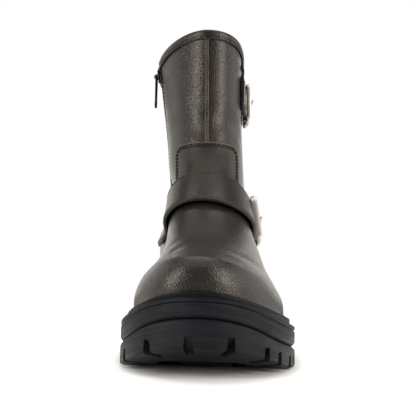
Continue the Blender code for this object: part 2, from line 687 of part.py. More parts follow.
def build_slider(place: Matrix) -> None:
    """Slider body with a bridge whose hole runs along Y; -X points out of the boot."""
    body = bmesh.new()
    half_width, half_length = SLIDER_WIDTH / 2, SLIDER_LENGTH / 2
    add_box(body, (-SLIDER_THICK, -half_width, -half_length), (0, half_width, half_length))
    slider = add_object("zip_slider", body, GUNMETAL, place)
    bridge = bmesh.new()
    add_box(bridge, (-SLIDER_THICK - BRIDGE_HEIGHT, -BRIDGE_WIDTH / 2, -BRIDGE_LENGTH / 2),
            (-SLIDER_THICK / 2, BRIDGE_WIDTH / 2, BRIDGE_LENGTH / 2))
    combine(slider, add_object("bridge_tool", bridge, GUNMETAL, place), "UNION")
    hole = bmesh.new()
    add_box(hole, (-SLIDER_THICK - BRIDGE_HOLE_HEIGHT, -SLIDER_WIDTH, -BRIDGE_HOLE_LENGTH / 2),
            (-SLIDER_THICK - BRIDGE_HOLE_OVER, SLIDER_WIDTH, BRIDGE_HOLE_LENGTH / 2))
    combine(slider, add_object("bridge_hole_tool", hole, GUNMETAL, place))


def build_pull(place: Matrix) -> None:
    """Pull tab that hangs from its eye, with its origin on the hinge axis along Y."""
    tab = bmesh.new()
    half = PULL_THICK / 2
    sections = []
    for z, width in PULL_OUTLINE:
        sections.append([Vector(p) for p in ((-half, -width / 2, z), (half, -width / 2, z),
                                             (half, width / 2, z), (-half, width / 2, z))])
    add_loft(tab, sections)
    pull = add_object("zip_pull", tab, GUNMETAL, place)
    eye = bmesh.new()
    add_box(eye, (-PULL_WIDTH, -PULL_EYE_WIDTH / 2, -PULL_EYE_LENGTH),
            (PULL_WIDTH, PULL_EYE_WIDTH / 2, -PULL_BAR))
    combine(pull, add_object("pull_eye_tool", eye, GUNMETAL, place))


def strap_slope(strap: Strap, y: float) -> float:
    """Fall of a strap's middle at y, as a slope."""
    t = min(max((y - strap.bend_y) / STRAP_BEND_RUN, 0.0), 1.0)
    return mix(math.tan(math.radians(strap.fall)), math.tan(math.radians(strap.end_fall)), t)


def strap_middle(strap: Strap, y: float) -> float:
    """Height of a strap's middle at y: a straight fall, a bend and a straight end."""
    first, last = strap_slope(strap, strap.bend_y), strap_slope(strap, strap.bend_y + STRAP_BEND_RUN)
    past = max(y - strap.bend_y, 0.0)
    bent = min(past, STRAP_BEND_RUN)
    drop = first * (y - past - strap.y) + first * bent + (last - first) * bent ** 2 / (2 * STRAP_BEND_RUN)
    return strap.z - drop - last * (past - bent)


def strap_offset(strap: Strap, point: Vector) -> float:
    """Distance of a point above a strap's middle."""
    return (point.z - strap_middle(strap, point.y)) / math.hypot(1.0, strap_slope(strap, point.y))


def strap_point(strap: Strap, s: float, across: float, lift: float) -> Vector:
    """Point over the upper at a place round it and at a distance above the strap's middle plane."""
    v = root_of(lambda v: strap_offset(strap, skin(s, v)) - across, 0.0, COLLAR)
    return skin(s, v, lift)


def strap_round_at(strap: Strap, y: float, side: int) -> float:
    """The s where a strap's middle line passes y on one side."""
    return side * root_of(lambda s: strap_point(strap, side * s, 0.0, 0.0).y - y, 0.02, 0.98)


def strap_turn(strap: Strap, y: float, across: float, side: int = 1) -> float:
    """The s on one side of a point square across a strap from its middle at y."""
    aim = y + across * math.sin(math.radians(strap.end_fall))
    return side * root_of(lambda s: strap_point(strap, side * s, across, 0.0).y - aim, 0.02, 0.98)


def buckle_place(strap: Strap) -> Matrix:
    """Frame of a buckle at its front bar: x along the strap to the heel, y up across it, z out."""
    step = strap.frame_length / math.hypot(1.0, strap_slope(strap, strap.bar_y + strap.frame_length / 2))
    s_front = strap_round_at(strap, strap.bar_y, 1)
    s_back = strap_round_at(strap, strap.bar_y + step, 1)
    front, back = (strap_point(strap, s, 0.0, 0.0) for s in (s_front, s_back))
    out = (strap_point(strap, s_front, 0.0, 1.0) - front) + (strap_point(strap, s_back, 0.0, 1.0) - back)
    along = (back - front).normalized()
    out = (out - out.dot(along) * along).normalized()
    place = Matrix((along, out.cross(along), out)).transposed().to_4x4()
    place.translation = front
    return place


def strap_half(strap: Strap, s: float, s_bar: float) -> float:
    """Half width of a strap, which narrows from the panel to its buckle."""
    return mix(strap.half, strap.buckle_half, ease((s - PANEL_HALF) / (s_bar - PANEL_HALF)))


def band(half: float, thick: float, under: Callable[[float, float], Vector]) -> list:
    """Closed section of a strap from under(across, rise), with its outer edges rounded a little."""
    outer = [under(half * share, thick - (STRAP_EDGE if abs(share) == 1 else 0.0)) for share in BAND_ACROSS]
    inner = [under(half * share, 0.0) for share in reversed(BAND_ACROSS)]
    return outer + inner


def build_strap(name: str, strap: Strap, start_side: int) -> None:
    """A strap from its start on one side, lifted over the instep panel, and the pieces of its buckle."""
    place = buckle_place(strap)
    steps = 22
    s_start = strap_round_at(strap, strap.start_y, start_side)
    s_bar = strap_round_at(strap, strap.bar_y, 1)
    s_square = max(s_start, 0.0)
    # The stations lean until they are square across the strap at its buckle and at a start on the inner side
    lean_down, lean_up = (strap_turn(strap, strap.bar_y, d) - s_bar
                          for d in (-strap.buckle_half, strap.buckle_half))
    start_down, start_up = (strap_turn(strap, strap.start_y, d, start_side) - s_start
                            for d in (-strap.half, strap.half))
    sections = []
    for k in range(steps + 1):
        s = mix(s_start, s_bar, k / steps)
        half = strap_half(strap, s, s_bar)
        square = ease((s - s_square) / (s_bar - s_square))
        start_square = ease(s / s_start) if s_start < 0 else 0.0

        def under(d: float, rise: float) -> Vector:
            lean = (lean_up if d > 0 else lean_down) * abs(d) / strap.buckle_half
            start_lean = (start_up if d > 0 else start_down) * abs(d) / strap.half
            turn = s + square * lean + start_square * start_lean
            off_panel = ease((abs(turn) - PANEL_HALF - LIFT_MARGIN) / LIFT_FALL)
            return strap_point(strap, turn, d, mix(strap.centre_lift, STRAP_END_LIFT, off_panel) + rise)

        sections.append(band(half, strap.thick, under))
    hinge = strap.frame_length
    for along, out in ((hinge * UNDER_FRAME_AT, UNDER_FRAME_LIFT), (hinge - 1.0, HINGE_LIFT),
                       (hinge + 6.0, TAIL_LIFT), (hinge + TAIL_LENGTH, TAIL_END_LIFT)):
        sections.append(band(strap.buckle_half, strap.thick,
                             lambda d, rise: place @ Vector((along, d, out + rise))))
    strap_piece = add_sections(name + "_strap", sections, LEATHER)
    slot = bmesh.new()
    add_box(slot, (hinge / 2, -SLOT_HALF, -2 * TAIL_LIFT),
            (hinge + SLOT_PAST_HINGE, SLOT_HALF, 2 * TAIL_LIFT))
    combine(strap_piece, add_object(name + "_slot_tool", slot, LEATHER, place))
    build_chape(name + "_chape", strap)
    build_frame(name + "_buckle_frame", strap, place)
    build_prong(name + "_buckle_prong", strap, place)


def build_chape(name: str, strap: Strap) -> None:
    """Chape: the short strap behind the buckle, from under the tail to its sewn end."""
    steps = 8
    start_y = strap.bar_y + (strap.frame_length + CHAPE_BEHIND_HINGE) * math.cos(math.radians(strap.end_fall))
    sections = []
    half = strap.buckle_half - CHAPE_INSET
    for k in range(steps + 1):
        y = mix(start_y, strap.end_y, k / steps)
        turns = {half * share: strap_turn(strap, y, half * share) for share in BAND_ACROSS}
        sections.append(band(half, strap.thick,
                             lambda d, rise: strap_point(strap, turns[d], d, STRAP_END_LIFT + rise)))
    add_sections(name, sections, LEATHER)


def build_frame(name: str, strap: Strap, place: Matrix) -> None:
    """Buckle frame: a rounded rectangle of flat bar, thinner where the prong hangs on it."""
    across = (strap.frame_width - FRAME_BAR) / 2 - FRAME_CORNER
    front, back = FRAME_CORNER, strap.frame_length - FRAME_CORNER
    corners = [(front, -across, 180), (back, -across, 270), (back, across, 0), (front, across, 90)]
    steps = 4
    sections = []
    for x, y, start in corners:
        for k in range(steps + 1):
            angle = math.radians(start + 90 * k / steps)
            side = Vector((math.cos(angle), math.sin(angle), 0))
            middle = Vector((x, y, 0)) + side * FRAME_CORNER
            middle.z = mix(FRONT_BAR_OUT, HINGE_BAR_OUT, middle.x / strap.frame_length)
            scale = mix(1.0, HINGE_BAR_SCALE, ease((middle.x - back) / FRAME_CORNER))
            wide, thick = FRAME_BAR / 2 * scale, FRAME_THICK / 2 * scale
            sections.append([middle + side * wide * i + Vector((0, 0, thick * j)) for i, j in FRAME_SECTION])
    add_sections(name, sections, NICKEL, ring=True, place=place)


def build_prong(name: str, strap: Strap, place: Matrix) -> None:
    """Prong: a wire hooked round the hinge bar, through the strap's slot, with its tip on the front bar."""
    bar = FRAME_BAR / 2 * HINGE_BAR_SCALE
    hook = bar + PRONG_CLEAR + PRONG_RADIUS
    steps, sides = 8, 6
    path = []
    for k in range(steps + 1):
        angle = math.radians(mix(*PRONG_HOOK_DEG, k / steps))
        path.append((strap.frame_length + hook * math.cos(angle), HINGE_BAR_OUT + hook * math.sin(angle)))
    rest = FRONT_BAR_OUT + FRAME_THICK / 2 + GAP + PRONG_RADIUS
    path += [(strap.frame_length / 2, rest - PRONG_SAG), (FRAME_BAR / 2, rest), (-FRAME_BAR / 2, rest)]
    sections = []
    for i, (x, z) in enumerate(path):
        before, after = path[max(i - 1, 0)], path[min(i + 1, len(path) - 1)]
        run = Vector((after[0] - before[0], 0, after[1] - before[1])).normalized()
        side = Vector((-run.z, 0, run.x))
        across = Vector((0, 1, 0))
        angles = [2 * math.pi * k / sides for k in range(sides)]
        sections.append([Vector((x, 0, z)) + PRONG_RADIUS * (side * math.cos(a) + across * math.sin(a))
                         for a in angles])
    add_sections(name, sections, NICKEL, place=place)


def build_boot() -> None:
    """All the pieces of the boot, from the floor up."""
    for old in list(bpy.data.objects):
        bpy.data.objects.remove(old)
    build_outsole()
    build_midsole()
    build_welt()
    build_insole()
    build_upper()
    build_gore()
    build_instep_panel()
    build_collar_binding()
    build_zip()
    build_strap("instep", INSTEP_STRAP, -1)
    build_strap("shaft", SHAFT_STRAP, 1)


build_boot()
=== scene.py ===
"""Looks of the left biker ankle boot: leather, rubber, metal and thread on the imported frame.

Sizes are in millimetres until a mesh is made. +Z is up, the toe points along -Y and the outer side is +X.
"""
from __future__ import annotations

import json
import logging
import math
from dataclasses import astuple, dataclass, replace
from enum import Enum, IntEnum
from functools import cached_property
from typing import Callable, Sequence

import bmesh
import bpy
import numpy as np
from mathutils import Matrix, Vector

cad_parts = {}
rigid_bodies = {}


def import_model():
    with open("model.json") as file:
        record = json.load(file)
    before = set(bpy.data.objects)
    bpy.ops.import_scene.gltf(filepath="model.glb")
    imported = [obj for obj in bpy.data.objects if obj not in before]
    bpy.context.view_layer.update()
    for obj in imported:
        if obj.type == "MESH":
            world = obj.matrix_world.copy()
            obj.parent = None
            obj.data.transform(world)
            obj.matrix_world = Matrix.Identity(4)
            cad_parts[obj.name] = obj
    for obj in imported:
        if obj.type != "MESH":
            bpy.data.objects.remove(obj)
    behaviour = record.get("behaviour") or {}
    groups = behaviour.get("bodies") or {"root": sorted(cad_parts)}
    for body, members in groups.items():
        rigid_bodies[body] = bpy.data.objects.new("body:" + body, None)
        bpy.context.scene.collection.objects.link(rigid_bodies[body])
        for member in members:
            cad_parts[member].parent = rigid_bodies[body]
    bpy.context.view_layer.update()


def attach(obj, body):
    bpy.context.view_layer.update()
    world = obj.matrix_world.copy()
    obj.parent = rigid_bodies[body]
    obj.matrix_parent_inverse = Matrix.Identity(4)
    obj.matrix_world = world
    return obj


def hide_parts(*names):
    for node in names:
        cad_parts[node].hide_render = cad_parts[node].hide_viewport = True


LOG = logging.getLogger("boot")
Array = np.ndarray
Mesh = bmesh.types.BMesh
Material = bpy.types.Material
Socket = bpy.types.NodeSocket
MM = 0.001

# Roundness of the toe and the heel, and how much further back the ball lies on the outer side
TOE_POWER = 2.15
HEEL_POWER = 2.3
BALL_SLANT = 0.03
# Sizes that several sub-assemblies share; the panel's half width is in s and its top in rows of the last
BED_GAP = 0.5
SOLE_LENGTH = 282.0
PANEL_HALF = 0.235
PANEL_TOP = 9.55
ZIP_Y = 66.0
ZIP_SLOT = 8.4
ZIP_FOOT_Z = 62.0
# Limits of the arithmetic: halvings of a search, the shortest vector, and merging and empty sizes in metres
SEARCH_STEPS = 40
SHORTEST = 1e-9
MERGE = 1e-6
EMPTY = 1e-7


class Side(IntEnum):
    """Side of the left foot, as the sign of x."""

    OUTER = 1
    INNER = -1


class Body(str, Enum):
    """Bodies of the frame."""

    BOOT = "boot"
    PULL = "pull_tab"


class Slot(str, Enum):
    """Material slots of the record."""

    RUBBER = "sole_rubber"
    LINING = "lining"
    LEATHER = "leather"
    ELASTIC = "elastic"
    ZIP = "zip_metal"
    NICKEL = "buckle_nickel"


def mix(a: Array, b: Array, t: Array) -> Array:
    """Value between a and b at the fraction t."""
    return a + (b - a) * t


def ease(t: Array) -> Array:
    """Smooth step from 0 to 1 over t from 0 to 1."""
    t = np.clip(t, 0.0, 1.0)
    return t * t * (3 - 2 * t)


def bell(distance: Array, width: Array) -> Array:
    """Soft bump of height 1 over a distance of 0."""
    return np.exp(-((distance / width) ** 2))


def hermite(low: Array, high: Array, low_slope: Array, high_slope: Array, span: Array, t: Array) -> Array:
    """Smooth value between two knots with given slopes.

    Args:
        low, high: Values at the knots.
        low_slope, high_slope: Slopes at the knots.
        span: Distance between the knots.
        t: Fraction between the knots.

    Returns:
        The value at t.
    """
    bend = t * (1 - t) * span * (low_slope * (1 - t) - high_slope * t)
    return mix(low, high, ease(t)) + bend


def catmull(p: Array, q: Array, r: Array, w: Array, t: Array) -> Array:
    """Smooth value between q and r at t, with p before them and w after them."""
    return q + t * ((r - p) / 2 + t * (p - 2.5 * q + 2 * r - w / 2 + t * (1.5 * (q - r) + (w - p) / 2)))


def curve_through(rows: Sequence[tuple[float, float]], x: Array) -> Array:
    """Smooth value at x through rows of (x, value), held beyond both ends."""
    knots, values = np.array(rows, float).T
    slopes = np.gradient(values, knots)
    slopes[1:-1] = (values[2:] - values[:-2]) / (knots[2:] - knots[:-2])
    x = np.clip(x, knots[0], knots[-1])
    i = np.clip(np.searchsorted(knots, x, side="right") - 1, 0, len(knots) - 2)
    span = knots[i + 1] - knots[i]
    return hermite(values[i], values[i + 1], slopes[i], slopes[i + 1], span, (x - knots[i]) / span)


def root_of(rising: Callable[[Array], Array], low: Array, high: Array) -> Array:
    """Where rising values cross zero.

    Args:
        rising: Values that grow with their argument.
        low, high: Ends of the search, as arrays of one shape.

    Returns:
        The arguments at the crossings.
    """
    for _ in range(SEARCH_STEPS):
        middle = (low + high) / 2
        below = rising(middle) < 0
        low, high = np.where(below, middle, low), np.where(below, high, middle)
    return (low + high) / 2


def unit(vectors: Array) -> Array:
    """Vectors scaled to the length 1."""
    return vectors / np.maximum(np.linalg.norm(vectors, axis=-1, keepdims=True), SHORTEST)


def together(*values: Array) -> Sequence[Array]:
    """Values as arrays of one shape."""
    return np.broadcast_arrays(*(np.asarray(value, float) for value in values))


def distances(path: Array) -> Array:
    """Distance of each point from the first, along a path."""
    return np.concatenate([[0.0], np.cumsum(np.linalg.norm(np.diff(path, axis=0), axis=1))])


def placing(axes: Sequence[Array], origin: Array, halves: Array | float = 1.0, size: float = 1.0) -> Matrix:
    """The place of a form.

    Args:
        axes: Its three directions.
        origin: Its middle.
        halves: Its half size along each direction.
        size: Scale of all the measures.

    Returns:
        The matrix that moves it there.
    """
    place = np.eye(4)
    place[:3, :3] = np.stack(axes, axis=1) * halves * size
    place[:3, 3] = origin * size
    return Matrix(place.tolist())


SOLE_TOP = ((-141, 41.5), (-115, 32.1), (-85, 25.5), (-50, 22.5), (-15, 24.5),
            (25, 31), (65, 38.5), (100, 42), (141, 43.5))


def sole_top(y: Array) -> Array:
    """Height of the midsole's top along the boot."""
    return curve_through(SOLE_TOP, y)


@dataclass(frozen=True)
class LastRow:
    """One closed line round the boot: its two ends, its inner and outer half widths, and where they lie."""

    front_y: float
    front_z: float
    front_x: float
    back_y: float
    back_z: float
    back_x: float
    ball_in: float
    ball_out: float
    waist_in: float
    waist_out: float
    heel_in: float
    heel_out: float
    ball_at: float
    heel_at: float
    mid_x: float
    follow: float
    power_in: float = TOE_POWER
    drop_in: float = 0.0

    def grown(self, out: float) -> LastRow:
        """The line moved outwards all round."""
        return replace(self, front_y=self.front_y - out, back_y=self.back_y + out,
                       ball_in=self.ball_in + out, ball_out=self.ball_out + out,
                       waist_in=self.waist_in + out, waist_out=self.waist_out + out,
                       heel_in=self.heel_in + out, heel_out=self.heel_out + out)

    def bow(self, t: Array) -> Array:
        """Sideways bend of the line's middle at the fraction t from front to back."""
        front = self.front_x * np.clip(1 - t / self.ball_at, 0, 1) ** 2
        back = self.back_x * np.clip((t - self.heel_at) / (1 - self.heel_at), 0, 1) ** 2
        return self.mid_x + front + back

    def reach(self, t: Array, side: Array) -> Array:
        """Half width on one side.

        Args:
            t: Fraction from front to back.
            side: 1 for the outer side, -1 for the inner.

        Returns:
            The half width at each t.
        """
        outer = np.asarray(side) > 0
        ball = np.where(outer, self.ball_out, self.ball_in)
        waist = np.where(outer, self.waist_out, self.waist_in)
        heel = np.where(outer, self.heel_out, self.heel_in)
        ball_at = self.ball_at + side * BALL_SLANT * self.follow
        power = np.where(outer, TOE_POWER, self.power_in)
        front = ball * np.clip(1 - np.clip(1 - t / ball_at, 0, 1) ** power, 0, 1) ** (1 / power)
        past = np.clip((t - self.heel_at) / (1 - self.heel_at), 0, 1)
        back = heel * np.clip(1 - past ** HEEL_POWER, 0, 1) ** (1 / HEEL_POWER)
        k = np.clip((t - ball_at) / (self.heel_at - ball_at), 0, 1)
        middle = mix(ball, heel, ease(k)) + (waist - (ball + heel) / 2) * np.sin(np.pi * k) ** 2
        return np.where(t <= ball_at, front, np.where(t >= self.heel_at, back, middle))

    def points(self, s: Array) -> Array:
        """Points on the line: s runs from 0 at the front to 1 at the back, or to -1 on the inner side."""
        s = (np.asarray(s, float) + 1) % 2 - 1
        side = np.where(s >= 0, 1, -1)
        t = (1 - np.cos(np.pi * np.abs(s))) / 2
        y = mix(self.front_y, self.back_y, t)
        sag = sole_top(y) - mix(sole_top(self.front_y), sole_top(self.back_y), t)
        drop = self.drop_in * np.minimum(ease(t / self.ball_at), ease((1 - t) / (1 - self.heel_at)))
        z = mix(self.front_z, self.back_z, t) + self.follow * sag - np.where(side < 0, drop, 0.0)
        x = self.bow(t) + side * self.reach(t, side)
        return np.stack(np.broadcast_arrays(x, y, z), axis=-1)


# The last's lines from the sole to the collar, each with its columns in this order:
# front y, z, x   back y, z, x   ball in, out   waist in, out   heel in, out   ball, heel at   mid x   follow
# and, towards the collar, the roundness and the drop of the front inner quarter
LAST_ROWS = tuple(LastRow(*row) for row in (
    (-131.5, float(sole_top(-131.5)) + BED_GAP, -6, 133.5, float(sole_top(133.5)) + BED_GAP, -3.5,
     45.0, 45.5, 29.5, 37.5, 33.5, 26.5, 0.31, 0.84, 0.0, 1.0),
    (-133.0, 50.0, -6.0, 136.0, 58.0, -3.5, 45.2, 44.7, 31.0, 37.0, 35.0, 27.5, 0.31, 0.84, 0.0, 0.90),
    (-130.0, 57.5, -6.0, 136.5, 66.0, -3.5, 42.0, 39.3, 33.0, 35.0, 35.6, 28.0, 0.31, 0.84, 0.0, 0.75),
    (-120.5, 63.5, -6.0, 136.0, 73.0, -3.5, 34.6, 34.0, 36.6, 33.0, 36.2, 28.0, 0.31, 0.84, 0.0, 0.60),
    (-99.0, 68.5, -6.0, 135.0, 80.0, -3.5, 30.0, 31.4, 37.6, 31.6, 36.0, 28.0, 0.30, 0.82, -0.3, 0.40),
    (-72.0, 75.0, -6.0, 133.5, 88.0, -3.0, 29.2, 29.7, 35.8, 30.2, 34.6, 28.0, 0.305, 0.80, -0.8, 0.25),
    (-46.0, 85.5, -5.5, 131.5, 95.0, -2.5, 28.7, 28.3, 32.6, 29.0, 32.0, 28.0, 0.31, 0.77, -1.5, 0.12),
    (-20.0, 101.0, -4.0, 129.0, 104.0, -2.0, 27.2, 27.8, 30.0, 28.8, 31.0, 28.0, 0.33, 0.72, -2.5, 0.05),
    (0.0, 119.0, -2.0, 127.0, 114.0, -1.0, 26.3, 27.8, 28.0, 28.8, 30.0, 28.0, 0.36, 0.66, -4.0, 0.0),
    (13.0, 138.0, 1.0, 125.5, 127.0, 0.0, 28.0, 29.0, 28.0, 29.0, 29.0, 28.0, 0.38, 0.62, -6.0, 0.0, 2.1),
    (19.0, 160.0, 2.0, 126.0, 147.0, 0.0, 28.5, 29.5, 28.5, 29.5, 28.5, 28.5, 0.4, 0.6, -7.5, 0.0, 2.0),
    (20.5, 192.0, 4.0, 130.0, 176.0, 0.0, 30, 31, 30, 31, 30, 30, 0.41, 0.58, -10, 0, 1.8, 1.5),
    (19.5, 232.5, 6.0, 137.0, 212.0, 0.0, 32, 34, 32, 34, 32.5, 32.5, 0.42, 0.56, -13, 0, 1.65, 5),
))
SOLE_ROW = LastRow(-SOLE_LENGTH / 2, 0, -6, SOLE_LENGTH / 2, 0, -3.5,
                   52.0, 52.2, 36.5, 45, 41, 34, 0.31, 0.84, 0, 1)


class Last:
    """Outer form of the upper: a place on it is (s, v), round from the front and up in rows of the table."""

    STEP = 0.01

    def __init__(self, rows: Sequence[LastRow] = LAST_ROWS) -> None:
        """Keep the rows as one table.

        Args:
            rows: Lines from the sole to the collar.
        """
        self.table = np.array([astuple(row) for row in rows])
        self.collar = float(len(rows) - 1)

    def row_at(self, v: Array) -> LastRow:
        """The line at the height v, whose values are arrays of v's shape."""
        v = np.asarray(v, float)
        top = len(self.table) - 1
        i = np.clip(v.astype(int), 0, top - 1)
        rows = (self.table[np.clip(i + k, 0, top)] for k in (-1, 0, 1, 2))
        return LastRow(*np.moveaxis(catmull(*rows, (v - i)[..., None]), -1, 0))

    def points(self, s: Array, v: Array) -> Array:
        """Points of the outer face."""
        return self.row_at(v).points(s)

    def slopes(self, s: Array, v: Array) -> tuple[Array, Array]:
        """Changes of place for one unit of s and one of v.

        Args:
            s, v: Places on the last.

        Returns:
            The direction round and the direction up, in millimetres a unit.
        """
        s, v = together(s, v)
        row = self.row_at(v)
        round_it = (row.points(s + self.STEP) - row.points(s - self.STEP)) / (2 * self.STEP)
        high, low = np.minimum(v + self.STEP, self.collar), np.maximum(v - self.STEP, 0.0)
        up = (self.points(s, high) - self.points(s, low)) / (high - low)[..., None]
        return round_it, up

    def normals(self, s: Array, v: Array) -> Array:
        """Outward directions of the outer face."""
        round_it, up = self.slopes(s, v)
        return unit(np.cross(unit(round_it), unit(up)))

    def skin(self, s: Array, v: Array, lift: Array = 0.0) -> Array:
        """Points of the outer face, lifted along its normals."""
        s, v, lift = together(s, v, lift)
        return self.points(s, v) + lift[..., None] * self.normals(s, v)

    def round_at(self, y: Array, v: Array, side: Side) -> Array:
        """The s of a place y on one side."""
        row = self.row_at(v)
        t = np.clip((y - row.front_y) / (row.back_y - row.front_y), 0.0, 1.0)
        return side * np.arccos(1 - 2 * t) / np.pi

    def height_at(self, y: Array, z: Array, side: Side) -> Array:
        """The v of a place (y, z) on one side."""
        y, z = together(y, z)
        return root_of(lambda v: self.points(self.round_at(y, v, side), v)[..., 2] - z,
                       np.zeros(y.shape), np.full(y.shape, self.collar))

    def row_over(self, s: Array, z: Array) -> Array:
        """The v where the line up the last at s reaches the height z."""
        s, z = together(s, z)
        return root_of(lambda v: self.points(s, v)[..., 2] - z,
                       np.full(s.shape, 1.0), np.full(s.shape, self.collar))

    def beside(self, s: Array, v: Array, inset: float) -> tuple[Array, Array]:
        """A path moved sideways on the surface.

        Args:
            s, v: The path's places in order.
            inset: Distance to the left of the path, in millimetres.

        Returns:
            The moved path's s and v.
        """
        round_it, up = self.slopes(s, v)
        per_s, per_v = np.linalg.norm(round_it, axis=-1), np.linalg.norm(up, axis=-1)
        run = unit(np.stack([np.gradient(s) * per_s, np.gradient(v) * per_v], axis=-1))
        return s - inset * run[:, 1] / per_s, v + inset * run[:, 0] / per_v


@dataclass(frozen=True)
class Patch:
    """Smooth surface through a grid of points: stations along it and places across it."""

    grid: Array

    # Steps along it, in millimetres, and across it, as a share, that give a normal
    STEP_ALONG = 0.3
    STEP_ACROSS = 0.02

    @cached_property
    def knots(self) -> Array:
        """Distance of each station along the middle line."""
        return distances(self.grid[:, self.grid.shape[1] // 2])

    @property
    def length(self) -> float:
        """Length of the middle line."""
        return float(self.knots[-1])

    def _across(self, station: Array, w: Array) -> Array:
        """Points at the fraction w across given stations."""
        last = self.grid.shape[1] - 1
        place = np.clip(w, 0.0, 1.0) * last
        j = np.clip(place.astype(int), 0, last - 1)
        near = (self.grid[station, np.clip(j + k, 0, last)] for k in (-1, 0, 1, 2))
        return catmull(*near, (place - j)[:, None])

    def points(self, along: Array, w: Array) -> Array:
        """Points at a distance along and a fraction across."""
        along, w = together(along, w)
        last = len(self.knots) - 1
        i = np.clip(np.searchsorted(self.knots, along, side="right") - 1, 0, last - 1)
        p, q, r, e = (self._across(np.clip(i + k, 0, last), w) for k in (-1, 0, 1, 2))
        at_p, at_q, at_r, at_e = (self.knots[np.clip(i + k, 0, last)][:, None] for k in (-1, 0, 1, 2))
        t = (along[:, None] - at_q) / (at_r - at_q)
        return hermite(q, r, (r - p) / (at_r - at_p), (e - q) / (at_e - at_q), at_r - at_q, t)

    def normals(self, along: Array, w: Array) -> Array:
        """Outward directions of the surface."""
        along, w = together(along, w)
        ahead = self.points(np.minimum(along + self.STEP_ALONG, self.length), w)
        behind = self.points(np.maximum(along - self.STEP_ALONG, 0.0), w)
        above, below = self.points(along, w + self.STEP_ACROSS), self.points(along, w - self.STEP_ACROSS)
        return unit(np.cross(ahead - behind, above - below))

    def lifted(self, along: Array, w: Array, lift: Array) -> Array:
        """Points lifted along the normals."""
        lift = np.broadcast_to(np.asarray(lift, float), np.shape(along))
        return self.points(along, w) + lift[:, None] * self.normals(along, w)


def mapped_grid(columns: int, rows: int, place: Callable[[Array, Array], Array],
                trim: Callable[[float, float], bool] | None = None) -> Mesh:
    """A grid whose points are moved to places in millimetres.

    Args:
        columns, rows: Faces along the two directions.
        place: Gives the places for fractions along the columns and along the rows.
        trim: Tells which faces take the second material, from the same fractions.

    Returns:
        The mesh, with doubled points merged, so that a grid which meets itself is closed.
    """
    mesh = bmesh.new()
    bmesh.ops.create_grid(mesh, x_segments=columns, y_segments=rows, size=0.5)
    for face in mesh.faces if trim else ():
        middle = face.calc_center_median()
        face.material_index = int(trim(middle.x + 0.5, middle.y + 0.5))
    flat = np.array([vert.co for vert in mesh.verts]) + 0.5
    column = np.rint(flat[:, 0] * columns) / columns
    row = np.rint(flat[:, 1] * rows) / rows
    for vert, point in zip(mesh.verts, place(column, row) * MM):
        vert.co = point
    bmesh.ops.remove_doubles(mesh, verts=mesh.verts, dist=MERGE)
    bmesh.ops.dissolve_degenerate(mesh, edges=mesh.edges, dist=EMPTY)
    return mesh


def swept(columns: int, loop: int, place: Callable[[Array, Array], Array], plain: int | None = None) -> Mesh:
    """A closed solid swept by a closed section.

    Args:
        columns: Faces along the sweep.
        loop: Points of the section.
        place: Gives the places for fractions along the sweep and numbers of points in the section.
        plain: Faces of the section that keep the first material, when the rest and the ends take the second.

    Returns:
        The mesh, with its ends filled and its faces outwards.
    """
    trim = None if plain is None else lambda u, w: w * loop > plain
    mesh = mapped_grid(columns, loop, lambda u, w: place(u, np.rint(w * loop).astype(int) % loop), trim)
    ends = [edge for edge in mesh.edges if edge.is_boundary]
    if ends:
        for face in bmesh.ops.holes_fill(mesh, edges=ends, sides=0)["faces"]:
            face.material_index = int(plain is not None)
    bmesh.ops.recalc_face_normals(mesh, faces=mesh.faces)
    return mesh


def join(mesh: Mesh, part: Mesh, scale: float = 1.0) -> None:
    """Move a part, scaled, into a mesh."""
    data = bpy.data.meshes.new("part")
    part.to_mesh(data)
    part.free()
    data.transform(Matrix.Scale(scale, 4))
    mesh.from_mesh(data)
    bpy.data.meshes.remove(data)


def soften(mesh: Mesh, edges: Sequence[bmesh.types.BMEdge], width: float, segments: int) -> None:
    """Round edges by a width in the mesh's own unit."""
    bmesh.ops.bevel(mesh, geom=edges, offset=width, affect="EDGES", segments=segments, profile=0.5,
                    material=-1)


def tube(path: Array, radii: Array, sides: int) -> Mesh:
    """A round bar along a path.

    Args:
        path: Points in order, in millimetres.
        radii: Radius at each point.
        sides: Faces round the bar.

    Returns:
        The closed mesh.
    """
    run = unit(np.gradient(path, axis=0))
    first = np.cross(run, [0.0, 0.0, 1.0])
    upright = np.linalg.norm(first, axis=1, keepdims=True) < 0.05
    first = unit(np.where(upright, np.cross(run, [0.0, 1.0, 0.0]), first))
    second = np.cross(run, first)
    last = len(path) - 1

    def place(u: Array, k: Array) -> Array:
        """Points of the bar."""
        i = np.rint(u * last).astype(int)
        angle = (2 * np.pi * k / sides)[:, None]
        return path[i] + radii[i][:, None] * (first[i] * np.cos(angle) + second[i] * np.sin(angle))

    return swept(last, sides, place)


